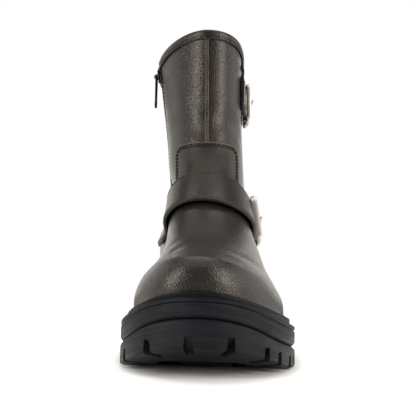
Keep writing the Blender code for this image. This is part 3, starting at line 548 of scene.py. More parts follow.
@dataclass(frozen=True)
class BandSection:
    """Section of a flat leather band: rounded edges, a slight crown and a sewn groove near each edge."""

    half: float
    thick: float
    groove_at: float
    groove: float = 0.18
    groove_width: float = 0.8
    edge: float = 0.75
    crown: float = 0.25
    top_points: int = 36
    corner_points: int = 5

    def loop(self) -> Array:
        """Points of the closed section as rows of (across, rise)."""
        flat = self.half - self.edge
        across = np.linspace(-flat, flat, self.top_points)
        rise = self.thick + self.crown * (1 - (across / self.half) ** 4)
        rise = rise - self.groove * bell(np.abs(across) - (self.half - self.groove_at), self.groove_width)
        corners = []
        for turn, x, z in ((90, flat, self.thick - self.edge), (0, flat, self.edge),
                           (-90, -flat, self.edge), (-180, -flat, self.thick - self.edge)):
            angles = np.radians(turn - np.linspace(0, 90, self.corner_points)[1:])
            corners.append(np.stack([x + self.edge * np.cos(angles), z + self.edge * np.sin(angles)], axis=1))
        return np.concatenate([np.stack([across, rise], axis=1), *corners])[:-1]

    def sweep(self, patch: Patch, columns: int, width: Callable[[Array], Array]) -> Mesh:
        """The band on a patch.

        Args:
            patch: Surface under the band.
            columns: Faces along it.
            width: Share of the full width at each distance along.

        Returns:
            The closed mesh.
        """
        loop = self.loop()

        def place(u: Array, k: Array) -> Array:
            """Points of the band."""
            along = u * patch.length
            across, rise = loop[k].T
            return patch.lifted(along, 0.5 + across * width(along) / (2 * self.half), rise)

        return swept(columns, len(loop), place, self.top_points - 1)


@dataclass(frozen=True)
class Thread:
    """Sewing thread: the pitch of its stitches, the size of one, and the step that finds its direction."""

    pitch: float = 2.7
    length: float = 2.1
    width: float = 0.95
    height: float = 0.7
    look: float = 0.4

    def sew(self, mesh: Mesh, path: Array, normals: Array) -> None:
        """Add a row of stitches to a mesh.

        Args:
            mesh: Mesh that takes the stitches.
            path: Points of the row in order, in millimetres.
            normals: Outward direction at each point.
        """
        reached = distances(path)
        count = max(int(reached[-1] / self.pitch), 1)
        middles = (np.arange(count) + 0.5) * reached[-1] / count

        def along(values: Array, distance: Array) -> Array:
            """Values at distances along the row."""
            return np.stack([np.interp(distance, reached, column) for column in values.T], axis=1)

        centres = along(path, middles)
        run = unit(along(path, middles + self.look) - along(path, middles - self.look))
        out = along(normals, middles)
        out = unit(out - np.sum(out * run, axis=1, keepdims=True) * run)
        halves = np.array([self.width, self.height, self.length]) / 2
        for centre, *axes in zip(centres, np.cross(out, run), out, run):
            place = placing(axes, centre, halves, MM)
            bmesh.ops.create_uvsphere(mesh, u_segments=6, v_segments=5, radius=1.0, matrix=place)


@dataclass(frozen=True)
class Step:
    """One modifier and its settings, applied when a piece is made."""

    kind: str
    settings: dict

    @staticmethod
    def wall(thick: float) -> Step:
        """A wall that goes inwards from the faces, in millimetres."""
        return Step("SOLIDIFY", {"thickness": thick * MM, "offset": -1.0, "use_rim": True,
                                 "material_offset_rim": 1})

    @staticmethod
    def rounded(width: float, segments: int) -> Step:
        """Rounded edges of a width in millimetres."""
        return Step("BEVEL", {"width": width * MM, "segments": segments, "limit_method": "ANGLE",
                              "angle_limit": math.radians(40.0), "profile": 0.5})


def placed(name: str, data: bpy.types.ID) -> bpy.types.Object:
    """A new object of the scene."""
    made = bpy.data.objects.new(name, data)
    bpy.context.scene.collection.objects.link(made)
    return made


class Workshop:
    """Turns meshes into finished pieces that ride on the frame."""

    SMOOTH_UNDER = 48.0

    def temporary(self, mesh: Mesh, name: str) -> bpy.types.Object:
        """An object made from a mesh, which it uses up."""
        data = bpy.data.meshes.new(name)
        mesh.to_mesh(data)
        mesh.free()
        return placed(name, data)

    def applied(self, mesh: Mesh, steps: Sequence[Step],
                looks: Sequence[Material] = ()) -> bpy.types.Mesh:
        """Mesh data after its modifiers.

        Args:
            mesh: Mesh to start from.
            steps: Modifiers in order.
            looks: Materials of the mesh.

        Returns:
            The new mesh data.
        """
        made = self.temporary(mesh, "in_work")
        for look in looks:
            made.data.materials.append(look)
        for number, step in enumerate(steps):
            modifier = made.modifiers.new(f"step_{number}", step.kind)
            for name, value in step.settings.items():
                setattr(modifier, name, value)
        bpy.context.view_layer.update()
        graph = bpy.context.evaluated_depsgraph_get()
        data = bpy.data.meshes.new_from_object(made.evaluated_get(graph), depsgraph=graph)
        old = made.data
        bpy.data.objects.remove(made)
        bpy.data.meshes.remove(old)
        return data

    def cut(self, mesh: Mesh, tools: Sequence[tuple[Mesh, str]]) -> Mesh:
        """A mesh cut by closed tools, or joined with them.

        Args:
            mesh: Closed mesh.
            tools: Closed meshes, each with DIFFERENCE or UNION.

        Returns:
            The new mesh.
        """
        helpers = [self.temporary(tool, "tool") for tool, _ in tools]
        steps = [Step("BOOLEAN", {"object": helper, "operation": operation, "solver": "EXACT"})
                 for helper, (_, operation) in zip(helpers, tools)]
        data = self.applied(mesh, steps)
        for helper in helpers:
            bpy.data.objects.remove(helper)
        made = bmesh.new()
        made.from_mesh(data)
        bpy.data.meshes.remove(data)
        return made

    def piece(self, name: str, mesh: Mesh, look: Material, slot: Slot, *, body: Body = Body.BOOT,
              trim: Material | None = None, stands_for: Sequence[str] = (),
              steps: Sequence[Step] = ()) -> bpy.types.Object:
        """Finish a piece of the boot.

        Args:
            name: Name of the piece.
            mesh: Its mesh in the boot's frame.
            look: Its material.
            slot: The record's slot for it; not used.
            body: Body that it rides on.
            trim: Material of its edges, if they differ.
            stands_for: Frame nodes that it replaces.
            steps: Modifiers that finish the mesh.

        Returns:
            The new object.
        """
        data = self.applied(mesh, steps, [look] if trim is None else [look, trim])
        data.name = name
        data.shade_smooth()
        data.set_sharp_from_angle(angle=math.radians(self.SMOOTH_UNDER))
        made = placed(name, data)
        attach(made, body.value)
        if stands_for:
            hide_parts(*stands_for)
        LOG.info("%s: %d faces, rides on %s", name, len(data.polygons), body.value)
        return made


@dataclass(frozen=True)
class Graph:
    """A node tree that takes new nodes and links."""

    tree: bpy.types.NodeTree

    def feed(self, node: bpy.types.Node, inputs: dict) -> None:
        """Set or link inputs of a node, by name or number."""
        for name, value in inputs.items():
            if isinstance(value, Socket):
                self.tree.links.new(value, node.inputs[name])
            else:
                node.inputs[name].default_value = value

    def add(self, kind: str, inputs: dict | None = None, **settings: object) -> bpy.types.Node:
        """Add a node.

        Args:
            kind: The node's type.
            inputs: Values or sockets for its inputs, by name or number.
            settings: The node's own properties.

        Returns:
            The new node.
        """
        node = self.tree.nodes.new(kind)
        for name, value in settings.items():
            setattr(node, name, value)
        self.feed(node, inputs or {})
        return node

    def use(self, group: bpy.types.NodeTree, inputs: dict) -> bpy.types.NodeOutputs:
        """Outputs of a shared group that is placed in this tree."""
        return self.add("ShaderNodeGroup", inputs, node_tree=group).outputs

    def math(self, operation: str, *values: object) -> Socket:
        """Value of one sum on sockets or numbers."""
        return self.add("ShaderNodeMath", dict(enumerate(values)), operation=operation).outputs[0]

    def vector(self, operation: str, inputs: dict) -> bpy.types.NodeOutputs:
        """Outputs of one sum on vectors."""
        return self.add("ShaderNodeVectorMath", inputs, operation=operation).outputs

    def ramp(self, value: object, low: float, high: float, *to: float) -> Socket:
        """Smooth step of a value from one range to another, which is 0 to 1 unless it is given."""
        inputs = dict(enumerate((value, low, high, *(to or (0.0, 1.0)))))
        return self.add("ShaderNodeMapRange", inputs, interpolation_type="SMOOTHSTEP").outputs[0]

    def noise(self, vector: object, scale: float, detail: float) -> Socket:
        """Noise value at a place."""
        return self.add("ShaderNodeTexNoise", {"Vector": vector, "Scale": scale, "Detail": detail}).outputs[0]

    def blend(self, share: object, a: object, b: object) -> Socket:
        """Colour between a and b."""
        return self.add("ShaderNodeMix", {0: share, 6: a, 7: b}, data_type="RGBA").outputs[2]

    def bump(self, height: object, depth: float, strength: float) -> Socket:
        """Normal bent by a height, over a depth in millimetres."""
        inputs = {"Height": height, "Distance": depth * MM, "Strength": strength}
        return self.add("ShaderNodeBump", inputs).outputs[0]


SOCKETS = {"Vector": "NodeSocketVector", "Stretch": "NodeSocketVector", "Dark": "NodeSocketColor",
           "Light": "NodeSocketColor", "Colour": "NodeSocketColor"}


class EffectGroups:
    """Surface effects that several finishes share, each a node group with named inputs and outputs."""

    def __init__(self) -> None:
        """Build every group once."""
        self.grain = self._group("pebble_grain", ("Vector", "Per metre"), ("Height", "Valley"), self._grain)
        self.mottle = self._group("soft_mottle", ("Vector", "Per metre", "Dark", "Light"), ("Colour",),
                                  self._mottle)
        self.brushed = self._group("brushed_lines", ("Vector", "Stretch"), ("Height", "Mask"), self._brushed)
        self.scuff = self._group("scuffs", ("Vector", "Per metre"), ("Mask",), self._scuff)

    def _group(self, name: str, inputs: Sequence[str], outputs: Sequence[str],
               fill: Callable[[Graph, dict], dict]) -> bpy.types.NodeTree:
        """Make a group.

        Args:
            name: Name of the group.
            inputs, outputs: Names of its sockets.
            fill: Adds the nodes and gives the socket for each output.

        Returns:
            The node group.
        """
        tree = bpy.data.node_groups.new(name, "ShaderNodeTree")
        for way, sockets in (("INPUT", inputs), ("OUTPUT", outputs)):
            for socket in sockets:
                kind = SOCKETS.get(socket, "NodeSocketFloat")
                tree.interface.new_socket(socket, in_out=way, socket_type=kind)
        graph = Graph(tree)
        given = graph.add("NodeGroupInput").outputs
        graph.add("NodeGroupOutput", fill(graph, {socket: given[socket] for socket in inputs}))
        return tree

    @staticmethod
    def _scaled(graph: Graph, given: dict) -> Socket:
        """The place times the number of cells a metre."""
        return graph.vector("SCALE", {0: given["Vector"], 3: given["Per metre"]})[0]

    def _grain(self, graph: Graph, given: dict) -> dict:
        """Pebbles with soft valleys between them, on top of finer pores."""
        place = self._scaled(graph, given)
        wander = graph.add("ShaderNodeTexNoise", {"Vector": place, "Scale": 0.7, "Detail": 2.0})
        moved = graph.vector("MULTIPLY_ADD", {0: wander.outputs["Color"], 1: (0.9, 0.9, 0.9), 2: place})
        cells = graph.add("ShaderNodeTexVoronoi", {"Vector": moved[0], "Scale": 1.0},
                          feature="DISTANCE_TO_EDGE")
        pebble = graph.ramp(cells.outputs["Distance"], 0.0, 0.32)
        pores = graph.noise(place, 3.6, 4.0)
        height = graph.math("ADD", graph.math("MULTIPLY", pebble, 0.7), graph.math("MULTIPLY", pores, 0.14))
        return {"Height": height, "Valley": graph.math("SUBTRACT", 1.0, pebble)}

    def _mottle(self, graph: Graph, given: dict) -> dict:
        """Slow drift between two colours."""
        mask = graph.ramp(graph.noise(self._scaled(graph, given), 1.0, 5.0), 0.36, 0.66)
        return {"Colour": graph.blend(mask, given["Dark"], given["Light"])}

    def _brushed(self, graph: Graph, given: dict) -> dict:
        """Fine lines across a stretched place."""
        place = graph.vector("MULTIPLY", {0: given["Vector"], 1: given["Stretch"]})[0]
        lines = graph.noise(place, 1.0, 4.0)
        return {"Height": lines, "Mask": graph.ramp(lines, 0.42, 0.72)}

    def _scuff(self, graph: Graph, given: dict) -> dict:
        """Sparse rubbed spots."""
        place = self._scaled(graph, given)
        coarse = graph.ramp(graph.noise(place, 1.0, 2.0), 0.56, 0.74)
        fine = graph.ramp(graph.noise(place, 9.0, 4.0), 0.45, 0.7)
        return {"Mask": graph.math("MULTIPLY", coarse, fine)}


Colour = tuple[float, float, float]


def solid(colour: Colour) -> tuple[float, float, float, float]:
    """A colour with full cover."""
    return (*colour, 1.0)


@dataclass(frozen=True)
class Finish:
    """What every finish has: its name, two colours, its roughness, and the depth and strength of its bump."""

    name: str
    dark: Colour
    light: Colour
    roughness: float
    mottle_per_metre: float = 60.0

    BUMP = (0.1, 0.5)

    def material(self, effects: EffectGroups) -> Material:
        """Build the material with a mottled colour.

        Args:
            effects: The shared groups.

        Returns:
            The material.
        """
        made = bpy.data.materials.new(self.name)
        made.use_nodes = True
        graph = Graph(made.node_tree)
        shader = made.node_tree.nodes["Principled BSDF"]
        place = graph.add("ShaderNodeTexCoord").outputs["Object"]
        mottle = graph.use(effects.mottle, {"Vector": place, "Per metre": self.mottle_per_metre,
                                            "Dark": solid(self.dark), "Light": solid(self.light)})
        graph.feed(shader, {"Roughness": self.roughness, "Base Color": mottle["Colour"]})
        height, surface = self.dress(graph, effects, place, mottle["Colour"])
        graph.feed(shader, {"Normal": graph.bump(height, *self.BUMP), **surface})
        return made

    def dress(self, graph: Graph, effects: EffectGroups, place: Socket,
              colour: Socket) -> tuple[Socket, dict]:
        """Add what one kind of finish has.

        Args:
            graph: Nodes of the material.
            effects: The shared groups.
            place: Object coordinates.
            colour: The mottled colour.

        Returns:
            The height of the bump, and values or sockets for the shader.
        """
        raise NotImplementedError


@dataclass(frozen=True)
class LeatherFinish(Finish):
    """Grained leather with a thin soft coat."""

    grain_per_metre: float = 640.0
    scuffs_per_metre: float = 45.0
    wrinkles_per_metre: float = 260.0
    wrinkle: float = 0.9
    scuffed: float = 0.10
    valley: float = 0.12

    BUMP = (0.17, 0.75)
    COAT = {"Coat Weight": 0.10, "Coat Roughness": 0.32, "Specular IOR Level": 0.5,
            "Specular Tint": (1.0, 0.93, 0.87, 1.0)}

    def dress(self, graph: Graph, effects: EffectGroups, place: Socket,
              colour: Socket) -> tuple[Socket, dict]:
        """Grain and wrinkles, rougher in the valleys and where it is scuffed."""
        grain = graph.use(effects.grain, {"Vector": place, "Per metre": self.grain_per_metre})
        scuff = graph.use(effects.scuff, {"Vector": place, "Per metre": self.scuffs_per_metre})
        wrinkle = graph.noise(place, self.wrinkles_per_metre, 3.0)
        height = graph.math("ADD", grain["Height"], graph.math("MULTIPLY", wrinkle, self.wrinkle))
        rubbed = graph.math("MULTIPLY_ADD", scuff["Mask"], self.scuffed, self.roughness)
        rough = graph.math("MULTIPLY_ADD", grain["Valley"], self.valley, rubbed)
        return height, {"Roughness": rough, **self.COAT}


@dataclass(frozen=True)
class RubberFinish(Finish):
    """Moulded rubber whose side has fine lines that follow the sole."""

    lines: tuple[float, float, float] = (22.0, 22.0, 1000.0)
    streak: Colour = (0.0170, 0.0178, 0.0205)
    streaked: float = 0.75
    specks_per_metre: float = 1400.0
    speck: float = 0.5
    polished: float = -0.12
    shine: float = 0.10

    BUMP = (0.22, 0.6)

    def dress(self, graph: Graph, effects: EffectGroups, place: Socket,
              colour: Socket) -> tuple[Socket, dict]:
        """Pale smooth lines along the sole, and specks."""
        along = graph.add("ShaderNodeAttribute", attribute_name="sole_run").outputs["Vector"]
        lines = graph.use(effects.brushed, {"Vector": along, "Stretch": self.lines})
        share = graph.math("MULTIPLY", lines["Mask"], self.streaked)
        streaks = graph.blend(share, colour, solid(self.streak))
        specks = graph.noise(place, self.specks_per_metre, 3.0)
        height = graph.math("ADD", lines["Height"], graph.math("MULTIPLY", specks, self.speck))
        rough = graph.math("MULTIPLY_ADD", lines["Mask"], self.polished, self.roughness)
        return height, {"Base Color": streaks, "Roughness": rough, "Specular IOR Level": self.shine}


@dataclass(frozen=True)
class MetalFinish(Finish):
    """Brushed metal with rubbed spots."""

    stretch: tuple[float, float, float] = (2500.0, 400.0, 150.0)
    scuffs_per_metre: float = 160.0
    scuffed: float = 0.25

    BUMP = (0.04, 0.35)

    def dress(self, graph: Graph, effects: EffectGroups, place: Socket,
              colour: Socket) -> tuple[Socket, dict]:
        """Brushed lines, rougher where it is scuffed."""
        lines = graph.use(effects.brushed, {"Vector": place, "Stretch": self.stretch})
        scuff = graph.use(effects.scuff, {"Vector": place, "Per metre": self.scuffs_per_metre})
        rough = graph.math("MULTIPLY_ADD", scuff["Mask"], self.scuffed, self.roughness)
        return lines["Height"], {"Metallic": 1.0, "Roughness": rough}


@dataclass(frozen=True)
class ClothFinish(Finish):
    """Thread, lining or elastic: matte fibres with a woven bump."""

    weave_per_metre: float = 1600.0
    bands: float = 6.0
    shine: float = 0.25

    BUMP = (0.12, 0.6)

    def dress(self, graph: Graph, effects: EffectGroups, place: Socket,
              colour: Socket) -> tuple[Socket, dict]:
        """Diagonal weave with fibres."""
        weave = graph.add("ShaderNodeTexWave", {"Vector": place, "Scale": self.weave_per_metre / self.bands,
                                                "Distortion": 2.0, "Detail": 2.0},
                          wave_type="BANDS", bands_direction="DIAGONAL")
        fibre = graph.noise(place, self.weave_per_metre, 2.0)
        return graph.math("ADD", weave.outputs["Fac"], fibre), {"Specular IOR Level": self.shine}


@dataclass(frozen=True)
class Looks:
    """All the materials of the boot."""

    leather: Material
    overlay: Material
    edge: Material
    paint: Material
    rubber: Material
    nickel: Material
    gunmetal: Material
    thread: Material
    worn_thread: Material
    lining: Material
    elastic: Material
    tape: Material

    @staticmethod
    def make() -> Looks:
        """Build every material from its finish."""
        effects = EffectGroups()
        finishes = (
            LeatherFinish("leather_upper", (0.0085, 0.0066, 0.0055), (0.0130, 0.0104, 0.0088), 0.30),
            LeatherFinish("leather_overlay", (0.0080, 0.0062, 0.0052), (0.0122, 0.0098, 0.0083), 0.31),
            LeatherFinish("leather_cut_edge", (0.070, 0.056, 0.047), (0.105, 0.086, 0.073), 0.60),
            LeatherFinish("edge_paint", (0.006, 0.006, 0.0065), (0.010, 0.010, 0.0105), 0.48),
            RubberFinish("sole_rubber", (0.0058, 0.0065, 0.0088), (0.0104, 0.0116, 0.0146), 0.56),
            MetalFinish("brushed_nickel", (0.78, 0.75, 0.69), (0.88, 0.85, 0.79), 0.46),
            MetalFinish("black_gunmetal", (0.030, 0.030, 0.032), (0.060, 0.060, 0.063), 0.36),
            ClothFinish("brown_thread", (0.010, 0.0062, 0.0050), (0.020, 0.0125, 0.0100), 0.75, 400.0),
            ClothFinish("worn_thread", (0.060, 0.044, 0.035), (0.095, 0.072, 0.058), 0.75, 400.0),
            ClothFinish("dark_lining", (0.022, 0.020, 0.019), (0.034, 0.031, 0.029), 0.85),
            ClothFinish("black_elastic", (0.006, 0.006, 0.006), (0.012, 0.012, 0.012), 0.85),
            ClothFinish("zip_tape", (0.009, 0.009, 0.010), (0.016, 0.016, 0.017), 0.8),
        )
        return Looks(*(finish.material(effects) for finish in finishes))


@dataclass
class Assembly:
    """What every sub-assembly is made with: the workshop, the materials, the last and the usual thread."""

    shop: Workshop
    looks: Looks
    last: Last
    thread: Thread


@dataclass(frozen=True)
class SideRow:
    """One row down the side of a sole layer: how far in from the outline, and its height along the boot."""

    inset: float
    height: Callable[[Array], Array]


@dataclass
class Sole(Assembly):
    """Outsole, midsole, welt and insole."""

    midsole_thick: float = 10.0
    midsole_growth: float = 1.2
    midsole_growth_run: float = 35.0
    gap: float = 0.3
    toe_spring: float = 16.0
    spring_from_y: float = -72.0
    spring_power: float = 1.8
    tread_edge: float = 1.4
    notch_depth: float = 12.0
    notch_past: float = 3.0
    notch_below: float = 6.0
    notch_height: float = 8.0
    notch_end_height: float = 2.0
    notch_mouth: float = 6.4
    notch_roof: float = 4.0
    trough_inset: float = 17.0
    trough_height: float = 5.0
    trough_below: float = 8.0
    lug_taper: float = 1.0
    lug_round: float = 0.5
    insole_inset: float = 2.7
    insole_thick: float = 3.0
    bend_clear: float = 0.004
    bend_half: float = 0.0015

    # Underside behind the ball: arch, heel breast, heel flat and the bevel at the back, as rows of (y, z)
    UNDERSIDE = ((10, 0), (22, 11), (57, 13), (60.5, 0), (130, 0), (141, 2.5))
    # Side of the midsole from the top down, as rows of (inset, height over its top)
    MIDSOLE_SIDE = ((3.0, 0.0), (1.3, 0.0), (0.65, -0.12), (0.25, -0.45), (0.15, -0.9), (0.15, -1.7),
                    (0.35, -2.0), (0.85, -2.3), (0.35, -2.6), (0.1, -2.9), (0.0, -4.0), (0.0, -5.8),
                    (0.0, -7.7), (0.2, -8.3), (0.8, -9.1), (2.0, -10.0))
    # Upper side of the outsole, as rows of (inset, height over its top)
    OUTSOLE_LIP = ((4.0, 0.0), (2.2, 0.0), (1.0, -0.6), (0.35, -1.3), (0.05, -2.0), (0.0, -2.8))
    # Section of the welt: how far out from the upper's foot, and the height over the midsole
    WELT_SECTION = ((0.3, 0.0), (3.5, 0.0), (3.7, 0.2), (3.7, 3.2), (3.55, 3.75), (3.1, 4.1), (2.5, 4.2),
                    (1.3, 4.2), (0.8, 3.5), (0.4, 1.5))
    NOTCHES_IN = (-140.8, -131, -108, -88, -68, -48, -26, -5, 74, 92, 110, 128)
    NOTCHES_OUT = (-137, -120.4, -108.3, -91.3, -77, -61, -44, -25, -5, 74, 92, 110, 128)
    # Lugs in the middle of the tread, as rows of (y, half width, half length)
    MIDDLE_LUGS = ((-94, 15, 6), (-72, 20, 6), (-50, 22, 6), (-28, 20, 6), (-8, 16, 5), (92, 14, 6),
                   (108, 12, 5))
    # Where the sunken fields start and end
    TROUGHS = ((-112, 2), (76, 120))

    def build(self) -> None:
        """Make the four pieces."""
        self.outsole()
        self.midsole()
        self.welt()
        self.insole()

    def ground(self, y: Array) -> Array:
        """Height of the tread's underside."""
        run = self.spring_from_y + SOLE_LENGTH / 2
        ahead = np.clip((self.spring_from_y - y) / run, 0, 1)
        behind = np.interp(y, *np.array(self.UNDERSIDE, float).T)
        return np.where(y < self.spring_from_y, self.toe_spring * ahead ** self.spring_power, behind)

    def midsole_scale(self, y: Array) -> Array:
        """Thickness of the midsole as a share of that at the toe, which grows to the sides."""
        return mix(1.0, self.midsole_growth, ease((y + SOLE_LENGTH / 2) / self.midsole_growth_run))

    def midsole_foot(self, y: Array) -> Array:
        """Height of the outsole's top."""
        return sole_top(y) - self.midsole_thick * self.midsole_scale(y) - self.gap

    def layer(self, outline: LastRow, rows: Sequence[SideRow], stations: Array, across: int = 10) -> Mesh:
        """A closed layer of the sole.

        Args:
            outline: Its widest outline.
            rows: Rows down its side, from the top.
            stations: Fractions from the toe to the heel.
            across: Faces across its top and across its foot.

        Returns:
            The closed mesh.
        """
        last = len(rows) - 1
        inner = np.linspace(0, 1, across + 1)[1:-1]
        number = np.concatenate([np.arange(last + 1), np.full(across - 1, last), np.arange(last, -1, -1),
                                 np.zeros(across - 1, int)]).astype(int)
        share = np.concatenate([np.zeros(last + 1), inner, np.ones(last + 1), inner[::-1]])
        ends = len(stations) - 1
        lines = []
        for row in rows:
            line = outline.grown(-row.inset)
            y = mix(line.front_y, line.back_y, stations)
            bow = line.bow(stations)
            lines.append((bow + line.reach(stations, Side.OUTER), bow - line.reach(stations, Side.INNER), y,
                          row.height(y)))
        table = np.array(lines)

        def place(u: Array, k: Array) -> Array:
            """Points of the layer's skin."""
            station = np.rint(u * ends).astype(int)
            outer, inside, y, z = table[number[k], :, station].T
            return np.stack([mix(outer, inside, share[k]), y, z], axis=1)

        return swept(ends, len(number), place)

    def stations(self, count: int, bends: Sequence[float] = ()) -> Array:
        """Fractions that space an outline evenly, with two more close to each bend of the underside."""
        even = (1 - np.cos(np.pi * np.linspace(0, 1, count + 1))) / 2
        at = np.array([(y + SOLE_LENGTH / 2) / SOLE_LENGTH for y in bends])
        if not len(at):
            return even
        clear = np.min(np.abs(even[:, None] - at), axis=1) > self.bend_clear
        return np.sort(np.concatenate([even[clear], at - self.bend_half, at + self.bend_half]))

    def rubber(self, name: str, mesh: Mesh, node: str) -> None:
        """A rubber piece that stores where its points lie along the boot and over the sole's curve."""
        piece = self.shop.piece(name, mesh, self.looks.rubber, Slot.RUBBER, stands_for=[node])
        places = np.empty(len(piece.data.vertices) * 3)
        piece.data.vertices.foreach_get("co", places)
        places = places.reshape(-1, 3)
        run = places.copy()
        run[:, 2] = places[:, 2] - sole_top(places[:, 1] / MM) * MM
        stored = piece.data.attributes.new("sole_run", "FLOAT_VECTOR", "POINT")
        stored.data.foreach_set("vector", run.ravel())

    def outsole(self) -> None:
        """Outsole with its lip, edge notches, and middle lugs in two troughs."""
        foot, lip = self.midsole_foot, self.OUTSOLE_LIP[-1][1]

        def side(y: Array, share: float) -> Array:
            """Height of a row of the side, at a share of the way down."""
            return mix(foot(y) + lip, self.ground(y) + self.tread_edge, share)

        rows = [SideRow(inset, lambda y, drop=drop: foot(y) + drop) for inset, drop in self.OUTSOLE_LIP]
        rows += [SideRow(0.0, lambda y, share=share: side(y, share)) for share in (0.2, 0.4, 0.6, 0.8, 1.0)]
        rows += [SideRow(0.4, lambda y: self.ground(y) + 0.4), SideRow(self.tread_edge, self.ground)]
        bends = [y for y, _ in self.UNDERSIDE[:-1]]
        mesh = self.layer(SOLE_ROW, rows, self.stations(150, bends))
        mesh = self.shop.cut(mesh, [(self.notches(), "DIFFERENCE"), (self.troughs(), "DIFFERENCE"),
                                    (self.lugs(), "UNION")])
        self.rubber("outsole_tread", mesh, "outsole")

    def notches(self) -> Mesh:
        """Wedges across the edge of the tread, narrow at the top and low at their inner end."""
        mesh = bmesh.new()
        places = [(y, Side.INNER) for y in self.NOTCHES_IN] + [(y, Side.OUTER) for y in self.NOTCHES_OUT]
        for y, side in places:
            s = side * np.arccos(1 - 2 * (y + SOLE_LENGTH / 2) / SOLE_LENGTH) / np.pi
            edge, ahead, behind = SOLE_ROW.points(np.array([s, s + 0.004, s - 0.004]))
            run = unit((ahead - behind) * [1, 1, 0])
            inward = np.array([-run[1], run[0], 0.0])
            for corner in bmesh.ops.create_cube(mesh, size=2.0)["verts"]:
                depth = self.notch_depth if corner.co.y > 0 else -self.notch_past
                height = self.notch_end_height if corner.co.y > 0 else self.notch_height
                half = (self.notch_roof if corner.co.z > 0 else self.notch_mouth) / 2
                place = edge + inward * depth + run * (half * corner.co.x)
                floor = float(self.ground(max(edge[1] + inward[1] * depth, -SOLE_LENGTH / 2)))
                place[2] = floor + (height if corner.co.z > 0 else -self.notch_below)
                corner.co = place * MM
        bmesh.ops.recalc_face_normals(mesh, faces=mesh.faces)
        return mesh

    def troughs(self) -> Mesh:
        """Sunken fields inside the edge lugs."""
        inside = SOLE_ROW.grown(-self.trough_inset)
        rows = [SideRow(0.0, lambda y: self.ground(y) + self.trough_height),
                SideRow(0.0, lambda y: 0 * y - self.trough_below)]
        joined = bmesh.new()
        for field in self.TROUGHS:
            ends = (np.array(field) - inside.front_y) / (inside.back_y - inside.front_y)
            join(joined, self.layer(inside, rows, np.linspace(*ends, 13), across=2))
        return joined

    def lugs(self) -> Mesh:
        """Middle lugs with rounded edges, down to the tread."""
        mesh = bmesh.new()
        for y, half_x, half_y in self.MIDDLE_LUGS:
            middle = float(SOLE_ROW.bow((y + SOLE_LENGTH / 2) / SOLE_LENGTH))
            corners = bmesh.ops.create_cube(mesh, size=2.0)["verts"]
            for corner in corners:
                taper = self.lug_taper if corner.co.z < 0 else 0.0
                place_y = y + corner.co.y * (half_y - taper)
                rise = self.trough_height + 1.0 if corner.co.z > 0 else 0.0
                floor = float(self.ground(y + corner.co.y * half_y))
                corner.co = Vector((middle + corner.co.x * (half_x - taper), place_y, floor + rise)) * MM
        edges = [edge for edge in mesh.edges if len({round(v.co.y, 5) for v in edge.verts}) == 2
                 or len({round(v.co.x, 5) for v in edge.verts}) == 2]
        soften(mesh, edges, self.lug_round * MM, 2)
        return mesh

    def midsole(self) -> None:
        """Midsole with a bead and a groove under its top edge and a chamfer over the outsole."""
        rows = [SideRow(inset, lambda y, drop=drop: sole_top(y) + drop * self.midsole_scale(y))
                for inset, drop in self.MIDSOLE_SIDE]
        self.rubber("midsole_band", self.layer(SOLE_ROW, rows, self.stations(170)), "midsole")

    def welt(self) -> None:
        """Welt round the foot of the upper."""
        section = self.WELT_SECTION
        foot = LAST_ROWS[0]

        def place(u: Array, k: Array) -> Array:
            """Points of the welt."""
            points = np.empty((len(u), 3))
            for number, (out, rise) in enumerate(section):
                chosen = k == number
                line = foot.grown(out).points(2 * u[chosen] - 1)
                line[:, 2] = sole_top(line[:, 1]) + BED_GAP + rise
                points[chosen] = line
            return points

        self.rubber("welt_ledge", swept(260, len(section), place), "welt")

    def insole(self) -> None:
        """Insole with a soft edge."""
        top = BED_GAP + self.insole_thick
        profile = ((1.2, top), (0.4, top - 0.3), (0.0, top - 1.0), (0.0, BED_GAP + 0.3), (0.5, BED_GAP))
        rows = [SideRow(inset, lambda y, rise=rise: sole_top(y) + rise) for inset, rise in profile]
        mesh = self.layer(LAST_ROWS[0].grown(-self.insole_inset), rows, self.stations(110))
        self.shop.piece("insole_board", mesh, self.looks.lining, Slot.LINING, stands_for=["insole"])


@dataclass(frozen=True)
class Crease:
    """Soft trough in the leather along a line of places, with a low ridge on each side of it.

    A place is a turn round the last, as s, and a height in millimetres. A depth below zero makes a ridge.
    """

    line: tuple[tuple[float, float], ...]
    depth: float
    width: float

    # Points for each place of the line, how blunt its ends are, and the height of the ridges beside it
    POINTS = 12
    FADE = 0.7
    RIDGE = 0.4

    def lift(self, last: Last, places: Array) -> Array:
        """Change of height at places of the outer face.

        Args:
            last: Form of the upper.
            places: Points in millimetres.

        Returns:
            The lift at each point, negative in the trough.
        """
        knots = np.linspace(0, 1, len(self.line))
        share = np.linspace(0, 1, self.POINTS * len(self.line))
        s, height = (np.interp(share, knots, column) for column in zip(*self.line))
        line = last.points(s, last.row_over(s, height))
        away = np.linalg.norm(places[:, None, :] - line[None, :, :], axis=2)
        nearest = np.argmin(away, axis=1)
        distance = away[np.arange(len(places)), nearest]
        fade = np.sin(np.pi * share[nearest]) ** self.FADE
        ridge = self.RIDGE * bell(distance - 2.0 * self.width, self.width)
        return self.depth * fade * (ridge - bell(distance, self.width))


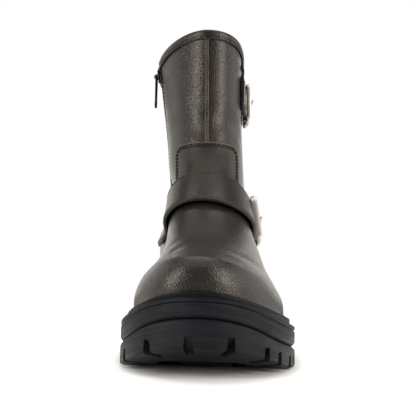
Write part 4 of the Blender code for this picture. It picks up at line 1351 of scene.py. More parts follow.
# The rim of the stiff toe, the creases of the vamp behind it, then the soft dents of the shaft and the ankle
CREASES = (
    Crease(((-0.26, 51.0), (-0.20, 58.0), (-0.08, 60.2), (0.0, 60.4), (0.06, 59.0), (0.12, 56.2),
            (0.20, 52.4), (0.32, 46.0)), -1.0, 5.2),
    Crease(((-0.21, 60.5), (-0.14, 64.5), (-0.06, 70.5)), 0.7, 4.2),
    Crease(((-0.22, 66.0), (-0.15, 70.5), (-0.07, 76.5)), 0.4, 4.0),
    Crease(((0.08, 67.5), (0.19, 62.5), (0.28, 57.0)), 0.5, 4.0),
    Crease(((-0.30, 170.0), (-0.12, 162.0), (-0.01, 159.0)), 0.9, 6.0),
    Crease(((0.03, 165.0), (0.14, 168.0), (0.32, 162.0)), 0.8, 6.0),
    Crease(((-0.16, 182.0), (-0.02, 178.0)), 0.45, 5.0),
    Crease(((0.44, 130.0), (0.80, 108.0)), 0.8, 7.0),
    Crease(((-0.80, 112.0), (-0.58, 132.0)), 0.7, 7.0),
)


@dataclass
class Upper(Assembly):
    """Leather shell with its creases, the lining inside it, the centre seam and the rows sewn on it."""

    wall: float = 1.3
    lining_lift: float = -1.5
    lining_wall: float = 0.5
    gore_top_y: tuple[float, float] = (50.0, 84.0)
    gore_foot_y: tuple[float, float] = (60.0, 76.0)
    gore_foot_z: float = 166.0
    gore_top_z: float = 219.0
    gore_tilt: float = 0.15
    seam_half: float = 1.3
    seam_rise: float = 0.55
    seam_thread: Thread = Thread(2.3, 1.7, 0.85, 0.6)
    zip_row_out: float = 2.4

    # One ridge of the front seam's strip and the black lap beside it, which is partly painted shade for the
    # dark line at the seam's side, as rows of (across, rise) in their own units
    SEAM_RIDGE = ((1.0, 0.1), (0.95, 0.6), (0.8, 1.0), (0.6, 0.75), (0.4, 0.25), (0.2, 0.1))
    SEAM_SHADE_LAP = ((-1.05, -0.4), (-1.05, 0.45), (-1.15, 0.65), (-1.35, 0.55), (-1.5, 0.0), (-1.4, -0.4))

    def build(self) -> None:
        """Make the shell, the lining, the seam and its stitches."""
        self.shell()
        self.lining()
        self.centre_seam()
        self.sewn_rows()

    def sheet(self, columns: int, rows: int, lift: Callable[[Array], Array]) -> Mesh:
        """A sheet round the last with its openings cut.

        Args:
            columns, rows: Faces round and up.
            lift: Lift at points of the outer face.

        Returns:
            The open mesh.
        """
        def place(u: Array, w: Array) -> Array:
            """Points of the sheet."""
            s, v = 2 * u - 1, w * self.last.collar
            return self.last.skin(s, v, lift(self.last.points(s, v)))

        mesh = mapped_grid(columns, rows, place)
        self.cut_zip(mesh)
        self.cut_gore(mesh)
        return mesh

    def shell(self) -> None:
        """Outer leather with the listed creases."""
        def lift(places: Array) -> Array:
            """Lift of all the creases together."""
            return sum(crease.lift(self.last, places) for crease in CREASES)

        mesh = self.sheet(240, 150, lift)
        self.shop.piece("upper_leather", mesh, self.looks.leather, Slot.LEATHER, stands_for=["upper"],
                        steps=[Step.wall(self.wall)])

    def lining(self) -> None:
        """Textile lining inside the leather."""
        mesh = self.sheet(120, 80, lambda places: np.full(len(places), self.lining_lift))
        self.shop.piece("upper_lining", mesh, self.looks.lining, Slot.LINING,
                        steps=[Step.wall(self.lining_wall)])

    @staticmethod
    def cut_opening(mesh: Mesh, near: Callable[[Vector], bool], planes: Sequence[tuple[Vector, Vector]],
                    within: Callable[[Vector], bool]) -> None:
        """Cut an opening.

        Args:
            mesh: Mesh to cut.
            near: Tells whether a face's middle, in millimetres, is near the opening.
            planes: Point and normal of each edge's plane, in millimetres.
            within: Tells whether a face that is near lies in the opening.
        """
        for point, normal in planes:
            faces = [face for face in mesh.faces if near(face.calc_center_median() / MM)]
            edges = {edge for face in faces for edge in face.edges}
            verts = {vert for face in faces for vert in face.verts}
            bmesh.ops.bisect_plane(mesh, geom=[*verts, *edges, *faces], dist=EMPTY, plane_co=point * MM,
                                   plane_no=normal)
        middles = ((face, face.calc_center_median() / MM) for face in mesh.faces)
        gone = [face for face, middle in middles if near(middle) and within(middle)]
        bmesh.ops.delete(mesh, geom=gone, context="FACES")

    def cut_zip(self, mesh: Mesh) -> None:
        """Open the slot of the zip on the inner side."""
        half = ZIP_SLOT / 2
        low, high = ZIP_Y - half, ZIP_Y + half

        def near(middle: Vector) -> bool:
            """Whether a place is near the slot."""
            return middle.x < -8 and abs(middle.y - ZIP_Y) < 4 * half and middle.z > ZIP_FOOT_Z - 6

        def within(middle: Vector) -> bool:
            """Whether a place near the slot is in it."""
            return low < middle.y < high and middle.z > ZIP_FOOT_Z

        along = Vector((0, 1, 0))
        planes = [(Vector((0, low, 0)), along), (Vector((0, high, 0)), along),
                  (Vector((0, 0, ZIP_FOOT_Z)), Vector((0, 0, 1)))]
        self.cut_opening(mesh, near, planes, within)

    def gore_edge(self, z: float) -> tuple[float, float]:
        """Front and back y of the gore's opening at a height."""
        t = (z - self.gore_foot_z) / (self.gore_top_z - self.gore_foot_z)
        front, back = (mix(foot, top, t) for foot, top in zip(self.gore_foot_y, self.gore_top_y))
        return front, back

    def gore_foot(self, y: float) -> float:
        """Height of the gore's foot, which falls to the back as the collar does."""
        return self.gore_foot_z - self.gore_tilt * (y - sum(self.gore_foot_y) / 2)

    def cut_gore(self, mesh: Mesh) -> None:
        """Open the wedge of the gore on the outer side."""
        def near(middle: Vector) -> bool:
            """Whether a place is near the wedge."""
            return middle.x > 2 and 40 < middle.y < 96 and middle.z > self.gore_foot_z - 10

        def within(middle: Vector) -> bool:
            """Whether a place near the wedge is in it."""
            front, back = self.gore_edge(middle.z)
            return front < middle.y < back and middle.z > self.gore_foot(middle.y)

        rise = self.gore_top_z - self.gore_foot_z
        planes = [(Vector((0, foot, self.gore_foot_z)), Vector((0, rise, foot - top)).normalized())
                  for foot, top in zip(self.gore_foot_y, self.gore_top_y)]
        planes.append((Vector((0, sum(self.gore_foot_y) / 2, self.gore_foot_z)),
                       Vector((0, self.gore_tilt, 1)).normalized()))
        self.cut_opening(mesh, near, planes, within)

    def centre_seam(self) -> None:
        """Raised seam up the front of the shaft, from the panel to the binding, and the lap beside it: a
        raised strip in black edge paint, partly the leather's edge paint and partly painted shade for the
        dark line beside the seam.
        """
        other_ridge = ((-across, up) for across, up in reversed(self.SEAM_RIDGE))
        strip = (*self.SEAM_RIDGE, *other_ridge, (-0.95, -0.8), (0.95, -0.8))
        ends = (PANEL_TOP - 0.1, self.last.collar - 0.1)
        # The lap's black edge paint is partly the real paint on the leather's edge and partly painted shade
        # for the dark line beside the seam
        for name, section, look in (("centre_seam", strip, self.looks.edge),
                                    ("centre_lap_painted_shade", self.SEAM_SHADE_LAP, self.looks.paint)):
            loop = np.array(section) * (self.seam_half, self.seam_rise)

            def place(u: Array, k: Array, loop: Array = loop) -> Array:
                """Points of the strip or the lap."""
                v = mix(*ends, u)
                round_it, _ = self.last.slopes(np.zeros(len(u)), v)
                return self.last.skin(0.0, v, loop[k, 1]) + unit(round_it) * loop[k, :1]

            self.shop.piece(name, swept(90, len(loop), place), look, Slot.LEATHER)

    def sewn_rows(self) -> None:
        """Stitches in the centre seam and along both sides of the zip."""
        mesh = bmesh.new()
        v = np.linspace(PANEL_TOP + 0.03, self.last.collar - 0.16, 80)
        zeros = np.zeros(len(v))
        self.seam_thread.sew(mesh, self.last.skin(zeros, v, 0.2), self.last.normals(zeros, v))
        foot = float(self.last.height_at(ZIP_Y, ZIP_FOOT_Z + 2.0, Side.INNER))
        v = np.linspace(foot, self.last.collar - 0.2, 120)
        for out in (-1, 1):
            s = self.last.round_at(ZIP_Y + out * (ZIP_SLOT / 2 + self.zip_row_out), v, Side.INNER)
            self.thread.sew(mesh, self.last.skin(s, v, 0.1), self.last.normals(s, v))
        self.shop.piece("upper_stitches", mesh, self.looks.thread, Slot.LEATHER)


@dataclass
class InstepPanel(Assembly):
    """Overlay on the throat, from under the instep strap up to its rounded top, sewn with two rows."""

    strap: StrapRun
    corner: float = 0.42
    round_from: float = 0.72
    round_to: float = 0.96
    lift: float = 0.15
    thick: float = 1.3
    under_strap: float = 6.0
    rows_in: tuple[float, float] = (1.9, 3.6)
    sewn: Thread = Thread(2.9, 2.5, 1.25, 0.9)

    def build(self) -> None:
        """Make the panel and its stitches."""
        mesh = mapped_grid(70, 60, self.place, lambda u, w: abs(u - 0.5) > 0.49 or w > 0.984)
        self.shop.piece("throat_panel", mesh, self.looks.overlay, Slot.LEATHER, trim=self.looks.edge,
                        stands_for=["instep_panel"], steps=[Step.wall(self.thick), Step.rounded(0.45, 3)])
        self.stitches()

    def top_at(self, s: Array) -> Array:
        """Row of the panel's top at each s."""
        edge = np.clip(np.abs(s) / PANEL_HALF - self.round_from, 0, None) / (1 - self.round_from)
        return PANEL_TOP - self.corner * (1 - np.sqrt(1 - self.round_to * edge ** 2))

    def place(self, u: Array, w: Array) -> Array:
        """Points of the panel's face."""
        s = mix(-PANEL_HALF, PANEL_HALF, u)
        foot = self.strap.row_at(s, np.full(len(s), -self.under_strap))
        return self.last.skin(s, mix(foot, self.top_at(s), w), self.lift + self.thick)

    def stitches(self) -> None:
        """Two rows along the sides and over the top."""
        mesh = bmesh.new()
        foot = float(self.strap.row_at(np.array([PANEL_HALF]), np.array([self.strap.half - 1.0]))[0])
        corner = float(self.top_at(np.array([PANEL_HALF]))[0])
        up = np.linspace(foot, corner, 40)
        over = np.linspace(PANEL_HALF, -PANEL_HALF, 160)
        s = np.concatenate([np.full(40, PANEL_HALF), over[1:-1], np.full(40, -PANEL_HALF)])
        v = np.concatenate([up, self.top_at(over)[1:-1], up[::-1]])
        for inset in self.rows_in:
            moved_s, moved_v = self.last.beside(s, v, inset)
            inside = np.abs(moved_s) <= PANEL_HALF
            moved_s, moved_v = moved_s[inside], moved_v[inside]
            normals = self.last.normals(moved_s, moved_v)
            self.sewn.sew(mesh, self.last.skin(moved_s, moved_v, self.lift + self.thick + 0.1), normals)
        self.shop.piece("throat_panel_stitches", mesh, self.looks.thread, Slot.LEATHER)


@dataclass
class CollarBinding(Assembly):
    """Leather folded over the collar, open at the zip and sewn once."""

    depth: float = 4.9
    row_up: float = 2.0
    row_lift: float = 1.45
    row_end: float = 0.01

    @property
    def section(self) -> Array:
        """Closed section as rows of (lift from the upper's face, rise over the collar)."""
        foot = -self.depth
        outside = [(0.15, foot), (0.9, foot - 0.1), (1.35, foot + 0.4), (1.5, foot + 1.2), (1.35, -3.0),
                   (1.4, -1.9), (1.5, -0.8), (1.4, 0.6), (1.0, 1.5), (0.2, 2.0), (-0.8, 2.1)]
        inside = [(-1.9, 1.9), (-2.8, 1.35), (-3.3, 0.3), (-3.5, -1.0), (-3.5, foot + 0.4), (-3.2, foot),
                  (-2.3, foot)]
        return np.array(outside + inside)

    def build(self) -> None:
        """Make the binding and its stitches."""
        start = float(self.last.round_at(ZIP_Y - ZIP_SLOT / 2, self.last.collar, Side.INNER))
        end = 2 + float(self.last.round_at(ZIP_Y + ZIP_SLOT / 2, self.last.collar, Side.INNER))
        section = self.section

        def at(s: Array, lift: Array, rise: Array) -> Array:
            """Points at a lift from the upper and a rise over the collar."""
            top = np.full(len(s), self.last.collar)
            round_it, up = self.last.slopes(s, top)
            normal = unit(np.cross(round_it, up))
            return self.last.points(s, top) + normal * lift[:, None] + unit(up) * rise[:, None]

        mesh = swept(220, len(section), lambda u, k: at(mix(start, end, u), *section[k].T))
        self.shop.piece("collar_band", mesh, self.looks.overlay, Slot.LEATHER, stands_for=["collar_binding"])
        row = bmesh.new()
        s = np.linspace(start + self.row_end, end - self.row_end, 300)
        lift, rise = np.full(len(s), self.row_lift), np.full(len(s), -self.depth + self.row_up)
        self.thread.sew(row, at(s, lift, rise), self.last.normals(s, np.full(len(s), self.last.collar)))
        self.shop.piece("collar_stitches", row, self.looks.thread, Slot.LEATHER)


@dataclass
class ElasticGore(Assembly):
    """Elastic wedge in the outer side under the shaft strap, ribbed and puckered below the collar."""

    upper: Upper
    gap: float = 0.3
    ripple: float = 2.4
    pitch: float = 7.6
    ribs: int = 22
    rib: float = 0.12
    sunk: float = 0.45
    wall: float = 1.2
    pucker_z: tuple[float, float] = (202.0, 221.0)
    pucker_runs: tuple[float, float] = (4.0, 3.0)
    crest_z: float = 215.0
    columns: int = 88
    rows: int = 90

    def span(self, v: float) -> tuple[float, float, float]:
        """A row of the last with the front and back y of the gore on it."""
        ends = self.upper.gore_foot_y
        for _ in range(5):
            heights = [float(self.last.points(self.last.round_at(y, v, Side.OUTER), v)[2]) for y in ends]
            ends = tuple(self.upper.gore_edge(z)[which] for which, z in enumerate(heights))
        return v, ends[0] + self.gap, ends[1] - self.gap

    def build(self) -> None:
        """Make the gore as one ribbed sheet with a wall."""
        middle = sum(self.upper.gore_foot_y) / 2
        foot = float(self.last.height_at(middle, self.upper.gore_foot_z + self.gap, Side.OUTER))
        table = np.array([self.span(v) for v in np.linspace(foot, self.last.collar - 0.02, self.rows + 1)])

        def place(u: Array, w: Array) -> Array:
            """Points of the gore."""
            v, front, back = table[np.rint(w * self.rows).astype(int)].T
            s = self.last.round_at(mix(front, back, u), v, Side.OUTER)
            z = self.last.points(s, v)[:, 2]
            (low, high), (run_in, run_out) = self.pucker_z, self.pucker_runs
            pucker = ease((z - low) / run_in) * ease((high - z) / run_out)
            wave = self.ripple * pucker * (0.5 + 0.5 * np.cos(2 * np.pi * (z - self.crest_z) / self.pitch))
            rib = self.rib * np.cos(2 * np.pi * self.ribs * u)
            return self.last.skin(s, v, wave + rib - self.sunk)

        self.shop.piece("gore_elastic", mapped_grid(self.columns, self.rows, place), self.looks.elastic,
                        Slot.ELASTIC, stands_for=["elastic_gore"], steps=[Step.wall(self.wall)])


@dataclass(frozen=True)
class StrapRun:
    """Where a strap runs: its middle through (y, z), its fall and its bend, its buckle and its ends."""

    last: Last
    y: float
    z: float
    fall_deg: float
    end_fall_deg: float
    bend_y: float
    half: float
    buckle_half: float
    thick: float
    bar_y: float
    frame_length: float
    frame_width: float
    start_y: float
    start_side: Side
    end_y: float
    centre_lift: float
    end_lift: float = 0.6
    bend_run: float = 10.0
    chape_behind: float = 3.0
    start_sink: float = 0.0

    # Stations of the strap through the buckle: a share of the frame's length, a distance past it and the rise
    THROUGH = ((0.45, 0.0, 3.2), (1.0, -1.0, 5.2), (1.0, 6.0, 6.0), (1.0, 9.0, 6.5))
    # Places across the strap, the ends of a search round the last, and the runs in s that ease it off the
    # panel, from a little beyond its edge, and up from its sewn start
    ACROSS = 9
    ROUND = (0.02, 0.98)
    PANEL_EDGE = 0.035
    PANEL_RUN = 0.14
    START_RUN = 0.16

    def slope(self, y: Array) -> Array:
        """Fall of the middle at y, as a slope."""
        first, end = (math.tan(math.radians(a)) for a in (self.fall_deg, self.end_fall_deg))
        return mix(first, end, np.clip((y - self.bend_y) / self.bend_run, 0.0, 1.0))

    def height(self, y: Array) -> Array:
        """Height of the middle at y: a straight fall, a bend and a straight end."""
        first, end = self.slope(self.bend_y), self.slope(self.bend_y + self.bend_run)
        past = np.maximum(y - self.bend_y, 0.0)
        bent = np.minimum(past, self.bend_run)
        drop = first * (y - past - self.y) + first * bent + (end - first) * bent ** 2 / (2 * self.bend_run)
        return self.z - drop - end * (past - bent)

    def row_at(self, s: Array, across: Array) -> Array:
        """The v at a turn s and a distance above the middle."""
        def above(v: Array) -> Array:
            """How far a row lies above the wanted place."""
            point = self.last.points(s, v)
            y, z = point[..., 1], point[..., 2]
            return (z - self.height(y)) / np.hypot(1.0, self.slope(y)) - across

        return root_of(above, np.zeros(np.shape(s)), np.full(np.shape(s), self.last.collar))

    def middle(self, s: Array, lift: float = 0.0) -> Array:
        """Points of the middle line over the upper."""
        return self.last.skin(s, self.row_at(s, np.zeros(np.shape(s))), lift)

    def round_at(self, y: float, side: Side) -> float:
        """The s where the middle line passes y on one side."""
        found = root_of(lambda s: self.middle(side * s)[..., 1] - y, *(np.array([end]) for end in self.ROUND))
        return float(side * found[0])

    @cached_property
    def buckle(self) -> Matrix:
        """Place of the buckle at its front bar: x along the strap to the heel, y up across it, z out."""
        step = self.frame_length / math.hypot(1.0, float(self.slope(self.bar_y + self.frame_length / 2)))
        turns = np.array([self.round_at(y, Side.OUTER) for y in (self.bar_y, self.bar_y + step)])
        front, back = self.middle(turns)
        along = unit(back - front)
        out = np.sum(self.middle(turns, 1.0) - self.middle(turns), axis=0)
        out = unit(out - np.dot(out, along) * along)
        return placing([along, np.cross(out, along), out], front)

    def in_buckle(self, points: Array) -> Array:
        """Points given in the buckle's place, in the boot's frame."""
        place = np.array(self.buckle)
        return np.asarray(points) @ place[:3, :3].T + place[:3, 3]

    def square_turns(self, y: float, half: float, side: Side = Side.OUTER) -> Array:
        """Turns of points square across the strap from its middle at y, on one side."""
        across = np.linspace(-half, half, self.ACROSS)
        aim = y + across * math.sin(math.radians(self.end_fall_deg))

        def past(s: Array) -> Array:
            """How far turns lie past the wanted places."""
            return self.last.points(side * s, self.row_at(side * s, across))[..., 1] - aim

        return side * root_of(past, *(np.full(self.ACROSS, end) for end in self.ROUND))

    def station(self, turns: Array, lift: float, half: float) -> Array:
        """Points across the strap at a turn for each, over the upper."""
        return self.last.skin(turns, self.row_at(turns, np.linspace(-half, half, self.ACROSS)), lift)

    def patch(self) -> Patch:
        """Underside of the strap from its start through the buckle to the tail."""
        rows = []
        start, bar = self.round_at(self.start_y, self.start_side), self.round_at(self.bar_y, Side.OUTER)
        lean = self.square_turns(self.bar_y, self.buckle_half) - bar
        start_lean = self.square_turns(self.start_y, self.half, self.start_side) - start
        for s in np.linspace(start, bar, 26):
            half = float(mix(self.half, self.buckle_half, ease((s - PANEL_HALF) / (bar - PANEL_HALF))))
            square = float(ease((s - max(start, 0.0)) / (bar - max(start, 0.0))))
            start_square = float(ease(s / start)) if start < 0 else 0.0
            turns = s + square * lean * half / self.buckle_half + start_square * start_lean
            off_panel = ease((np.abs(turns) - PANEL_HALF - self.PANEL_EDGE) / self.PANEL_RUN)
            sink = self.start_sink * (1 - float(ease((s - start) / self.START_RUN)))
            rows.append(self.station(turns, mix(self.centre_lift, self.end_lift, off_panel) - sink, half))
        across = np.linspace(-self.buckle_half, self.buckle_half, self.ACROSS)
        for share, past, out in self.THROUGH:
            along = self.frame_length * share + past
            rows.append(self.in_buckle(np.stack(np.broadcast_arrays(along, across, out), axis=1)))
        return Patch(np.array(rows))

    def chape_patch(self, inset: float) -> Patch:
        """Underside of the short strap behind the buckle."""
        behind = self.frame_length + self.chape_behind
        start = self.bar_y + behind * math.cos(math.radians(self.end_fall_deg))
        half = self.buckle_half - inset
        rows = [self.station(self.square_turns(y, half), self.end_lift, half)
                for y in np.linspace(start, self.end_y, self.ACROSS)]
        return Patch(np.array(rows))


@dataclass
class BuckledStrap(Assembly):
    """A strap with its chape, buckle frame, prong and stitches."""

    name: str
    run: StrapRun
    frame_bar: float = 3.4
    frame_thick: float = 2.6
    frame_corner: float = 4.5
    frame_square: float = 0.45
    frame_steps: int = 6
    hinge_scale: float = 0.55
    front_deep: float = 1.3
    front_run: float = 1.6
    front_bar_out: float = 6.2
    hinge_bar_out: float = 3.8
    prong_radius: float = 0.75
    prong_clear: float = 0.45
    prong_sag: float = 0.5
    prong_rest: float = 0.3
    prong_past: float = 0.4
    prong_dip: float = 0.15
    prong_swell: float = 1.15
    prong_tip: float = 0.7
    row_in: float = 2.1
    chape_inset: float = 0.5
    tip_round: float = 7.0
    tip_width: float = 0.42
    column_length: float = 1.4

    def build(self) -> None:
        """Make the pieces of one strap."""
        self.straps()
        self.frame()
        self.prong()

    def straps(self) -> None:
        """The strap through the buckle and the chape behind it, each sewn along both edges."""
        run = self.run
        row = bmesh.new()
        patches = {"strap": (run.patch(), run.half, self.tip_round),
                   "chape": (run.chape_patch(self.chape_inset), run.buckle_half - self.chape_inset, 0.0)}
        for kind, (patch, half, tip) in patches.items():
            section = BandSection(half, run.thick, self.row_in)

            def width(along: Array, tip: float = tip, patch: Patch = patch) -> Array:
                """Share of the full width, which falls to a round tip."""
                if not tip:
                    return np.ones(len(along))
                near = np.clip((along - patch.length + tip) / tip, 0, 1)
                return mix(self.tip_width, 1.0, np.sqrt(1 - near ** 2))

            columns = max(int(patch.length / self.column_length), 12)
            mesh = section.sweep(patch, columns, width)
            self.shop.piece(f"{self.name}_{kind}_leather", mesh, self.looks.overlay, Slot.LEATHER,
                            trim=self.looks.paint, stands_for=[f"{self.name}_{kind}"])
            along = np.linspace(2.0, patch.length - max(tip, 2.0), 200)
            for edge in (self.row_in / (2 * half), 1 - self.row_in / (2 * half)):
                w = np.full(len(along), edge)
                self.thread.sew(row, patch.lifted(along, w, run.thick + 0.12), patch.normals(along, w))
        self.shop.piece(f"{self.name}_strap_stitches", row, self.looks.worn_thread, Slot.LEATHER)

    def frame(self) -> None:
        """Buckle frame: a bar's section spun round four corners and run straight between them."""
        run, corner, steps = self.run, self.frame_corner, self.frame_steps
        across = (run.frame_width - self.frame_bar) / 2 - corner
        front, back = corner, run.frame_length - corner
        mesh = bmesh.new()
        start = Matrix.Translation((0, -across, 0)) @ Matrix.Rotation(math.radians(90), 4, "X")
        ring = bmesh.ops.create_circle(mesh, segments=16, radius=1.0, matrix=start)["verts"]
        for vert in ring:
            square = max(abs(vert.co.x), abs(vert.co.z)) ** self.frame_square
            vert.co = Vector((vert.co.x / square * self.frame_bar / 2, vert.co.y,
                              vert.co.z / square * self.frame_thick / 2))
        edges = list(dict.fromkeys(edge for vert in ring for edge in vert.link_edges))
        corners = ((front, across), (back, across), (back, -across), (front, -across))
        straights = ((0, 2 * across), (back - front, 0), (0, -2 * across), (front - back, 0))
        for (x, y), (move_x, move_y) in zip(corners, straights):
            for _ in range(steps):
                grown = bmesh.ops.extrude_edge_only(mesh, edges=edges)["geom"]
                moved = [item for item in grown if isinstance(item, bmesh.types.BMVert)]
                edges = [item for item in grown if isinstance(item, bmesh.types.BMEdge)
                         and all(vert in moved for vert in item.verts)]
                bmesh.ops.translate(mesh, verts=moved, vec=(move_x / steps, move_y / steps, 0))
            spun = bmesh.ops.spin(mesh, geom=edges, cent=(x, y, 0), axis=(0, 0, -1), angle=math.pi / 2,
                                  steps=steps, use_merge=False)["geom_last"]
            edges = [item for item in spun if isinstance(item, bmesh.types.BMEdge)]
        bmesh.ops.remove_doubles(mesh, verts=mesh.verts, dist=1e-4)
        for vert in mesh.verts:
            x, y, z = vert.co
            thin = mix(1.0, self.hinge_scale, float(ease((x - back) / corner)))
            deep = mix(self.front_deep, 1.0, float(ease(x / (self.front_run * corner))))
            x, z = run.frame_length + (x - run.frame_length) * thin if x > back else x, z * thin * deep
            out = mix(self.front_bar_out, self.hinge_bar_out, x / run.frame_length)
            vert.co = run.buckle @ Vector((x, y, z + out)) * MM
        bmesh.ops.recalc_face_normals(mesh, faces=mesh.faces)
        self.shop.piece(f"{self.name}_buckle", mesh, self.looks.nickel, Slot.NICKEL,
                        stands_for=[f"{self.name}_buckle_frame"])

    def prong(self) -> None:
        """Prong hooked round the hinge bar, with its tip on the front bar."""
        run = self.run
        hook = self.frame_bar / 2 * self.hinge_scale + self.prong_clear + self.prong_radius
        angles = np.radians(np.linspace(-110, 100, 15))
        path = [(run.frame_length + hook * math.cos(a), 0.0, self.hinge_bar_out + hook * math.sin(a))
                for a in angles]
        front_top = self.front_bar_out + self.front_deep * self.frame_thick / 2
        rest = front_top + self.prong_rest + self.prong_radius
        for share in np.linspace(0.8, 0.0, 9):
            path.append((run.frame_length * share, 0.0, rest - self.prong_sag * math.sin(math.pi * share)))
        path.append((-self.frame_bar / 2 - self.prong_past, 0.0, rest - self.prong_dip))
        radii = np.full(len(path), self.prong_radius * self.prong_swell)
        radii[-1] = self.prong_radius * self.prong_tip
        mesh = tube(run.in_buckle(np.array(path)), radii, 12)
        self.shop.piece(f"{self.name}_prong", mesh, self.looks.nickel, Slot.NICKEL,
                        stands_for=[f"{self.name}_buckle_prong"])


@dataclass
class SideZip(Assembly):
    """Zip on the inner side: tapes, teeth, slider and the pull that hangs from it."""

    tape_half: float = 3.9
    tape_lift: float = -0.7
    tape_wall: float = 0.8
    cord_rise: float = 0.25
    cord_at: float = 1.6
    cord_width: float = 0.5
    tooth_pitch: float = 1.25
    tooth_across: float = 3.0
    tooth_along: float = 0.85
    tooth_rise: float = 1.1
    tooth_lift: float = -0.15
    tooth_aside: float = 0.7
    tooth_round: float = 0.2
    slider_z: float = 211.0
    slider_lift: float = 0.9
    slider_thick: float = 1.6
    slider_width: float = 6.0
    slider_length: float = 10.0
    slider_narrow: float = 0.72
    slider_round: float = 0.5
    bridge_radius: float = 0.62
    bridge_half: float = 1.9
    hole_height: float = 2.0
    pull_width: float = 5.4
    pull_thick: float = 1.8
    eye_width: float = 3.2
    eye_length: float = 3.6
    pull_bar: float = 0.6

    # Outline of the pull below its hinge, as rows of (height, width)
    PULL_OUTLINE = ((0.6, 5.4), (-0.6, 5.4), (-3.6, 5.4), (-5.6, 5.4), (-10.0, 4.2), (-17.0, 3.4),
                    (-23.0, 5.0), (-25.0, 3.8))

    def build(self) -> None:
        """Make the pieces of the zip."""
        self.tape()
        self.teeth()
        lean, seat = self.seat()
        self.slider(Matrix.Translation(seat) @ lean)
        hinge = seat + lean @ Vector((-self.slider_thick - self.hole_height / 2, 0, 0))
        self.pull(Matrix.Translation(hinge))

    def rows(self, count: int) -> Array:
        """Rows of the last from the zip's foot to the collar."""
        foot = float(self.last.height_at(ZIP_Y, ZIP_FOOT_Z + 0.6, Side.INNER))
        return np.linspace(foot, self.last.collar - 0.02, count)

    def tape(self) -> None:
        """Woven tape under the teeth."""
        ends = self.rows(2)

        def place(u: Array, w: Array) -> Array:
            """Points of the tape."""
            v = mix(*ends, w)
            across = mix(-self.tape_half, self.tape_half, u)
            lift = self.tape_lift + self.cord_rise * bell(np.abs(across) - self.cord_at, self.cord_width)
            return self.last.skin(self.last.round_at(ZIP_Y - across, v, Side.INNER), v, lift)

        mesh = mapped_grid(14, 120, place)
        bmesh.ops.recalc_face_normals(mesh, faces=mesh.faces)
        if sum(face.normal.x * face.calc_area() for face in mesh.faces) > 0:
            bmesh.ops.reverse_faces(mesh, faces=mesh.faces)
        self.shop.piece("zip_tape", mesh, self.looks.tape, Slot.ZIP, steps=[Step.wall(self.tape_wall)])

    def teeth(self) -> None:
        """Closed teeth, left and right in turn."""
        v = self.rows(400)
        s = self.last.round_at(ZIP_Y, v, Side.INNER)
        path, normals = self.last.skin(s, v, self.tooth_lift), self.last.normals(s, v)
        reached = distances(path)
        mesh = bmesh.new()
        halves = np.array([self.tooth_across, self.tooth_rise, self.tooth_along]) / 2
        for k in range(int(reached[-1] / self.tooth_pitch)):
            i = int(np.searchsorted(reached, (k + 0.5) * self.tooth_pitch))
            up = unit(path[min(i + 1, len(path) - 1)] - path[i - 1])
            out = unit(normals[i] - np.dot(normals[i], up) * up)
            across = np.cross(out, up)
            middle = path[i] + across * (self.tooth_aside if k % 2 else -self.tooth_aside)
            bmesh.ops.create_cube(mesh, size=2.0, matrix=placing([across, out, up], middle, halves, MM))
        soften(mesh, mesh.edges, self.tooth_round * MM, 1)
        self.shop.piece("zip_teeth", mesh, self.looks.gunmetal, Slot.ZIP, stands_for=["zip_chain"])

    def seat(self) -> tuple[Matrix, Vector]:
        """The slider's lean and its place on the chain."""
        v = self.last.height_at(ZIP_Y, self.slider_z, Side.INNER)
        s = self.last.round_at(ZIP_Y, v, Side.INNER)
        _, up = self.last.slopes(s, v)
        up = unit(up)
        return (Matrix.Rotation(math.atan2(up[0], up[2]), 4, "Y"),
                Vector(self.last.skin(s, v, self.slider_lift).tolist()))

    def slider(self, place: Matrix) -> None:
        """Slider body that narrows downwards, with a bridge over the pull's bar."""
        mesh = bmesh.new()
        body = bmesh.ops.create_cube(mesh, size=1.0)["verts"]
        for vert in body:
            narrow = self.slider_narrow if vert.co.z < 0 else 1.0
            vert.co = Vector((-self.slider_thick / 2 + vert.co.x * self.slider_thick,
                              vert.co.y * self.slider_width * narrow, vert.co.z * self.slider_length))
        edges = list(dict.fromkeys(edge for vert in body for edge in vert.link_edges))
        soften(mesh, edges, self.slider_round, 2)
        angles = np.linspace(0, np.pi, 13)
        arch = np.stack([-self.slider_thick + 0.3 - (self.hole_height + 0.9) * np.sin(angles),
                         np.zeros(len(angles)), self.bridge_half * np.cos(angles)], axis=1)
        join(mesh, tube(arch, np.full(len(angles), self.bridge_radius), 10), 1 / MM)
        bmesh.ops.transform(mesh, matrix=Matrix.Scale(MM, 4) @ place, verts=mesh.verts)
        self.shop.piece("zip_slider_body", mesh, self.looks.gunmetal, Slot.ZIP, stands_for=["zip_slider"])

    def pull(self, place: Matrix) -> None:
        """Pull tab with its eye, a flat grid that is given thickness and soft edges."""
        heights, widths = np.array(self.PULL_OUTLINE).T
        rows = len(heights) - 1
        mesh = bmesh.new()
        bmesh.ops.create_grid(mesh, x_segments=3, y_segments=rows, size=0.5)
        eye = self.eye_width / self.pull_width
        shares = (-1.0, -eye, eye, 1.0)
        for vert in mesh.verts:
            column, row = round((vert.co.x + 0.5) * 3), round((0.5 - vert.co.y) * rows)
            across = shares[column] * widths[row] / 2
            vert.co = place @ Vector((self.pull_thick / 2, across, heights[row])) * MM

        def in_eye(middle: Vector) -> bool:
            """Whether a place is in the eye."""
            away = middle / MM - place.translation
            return abs(away.y) < self.eye_width / 4 and -self.eye_length < away.z < -self.pull_bar

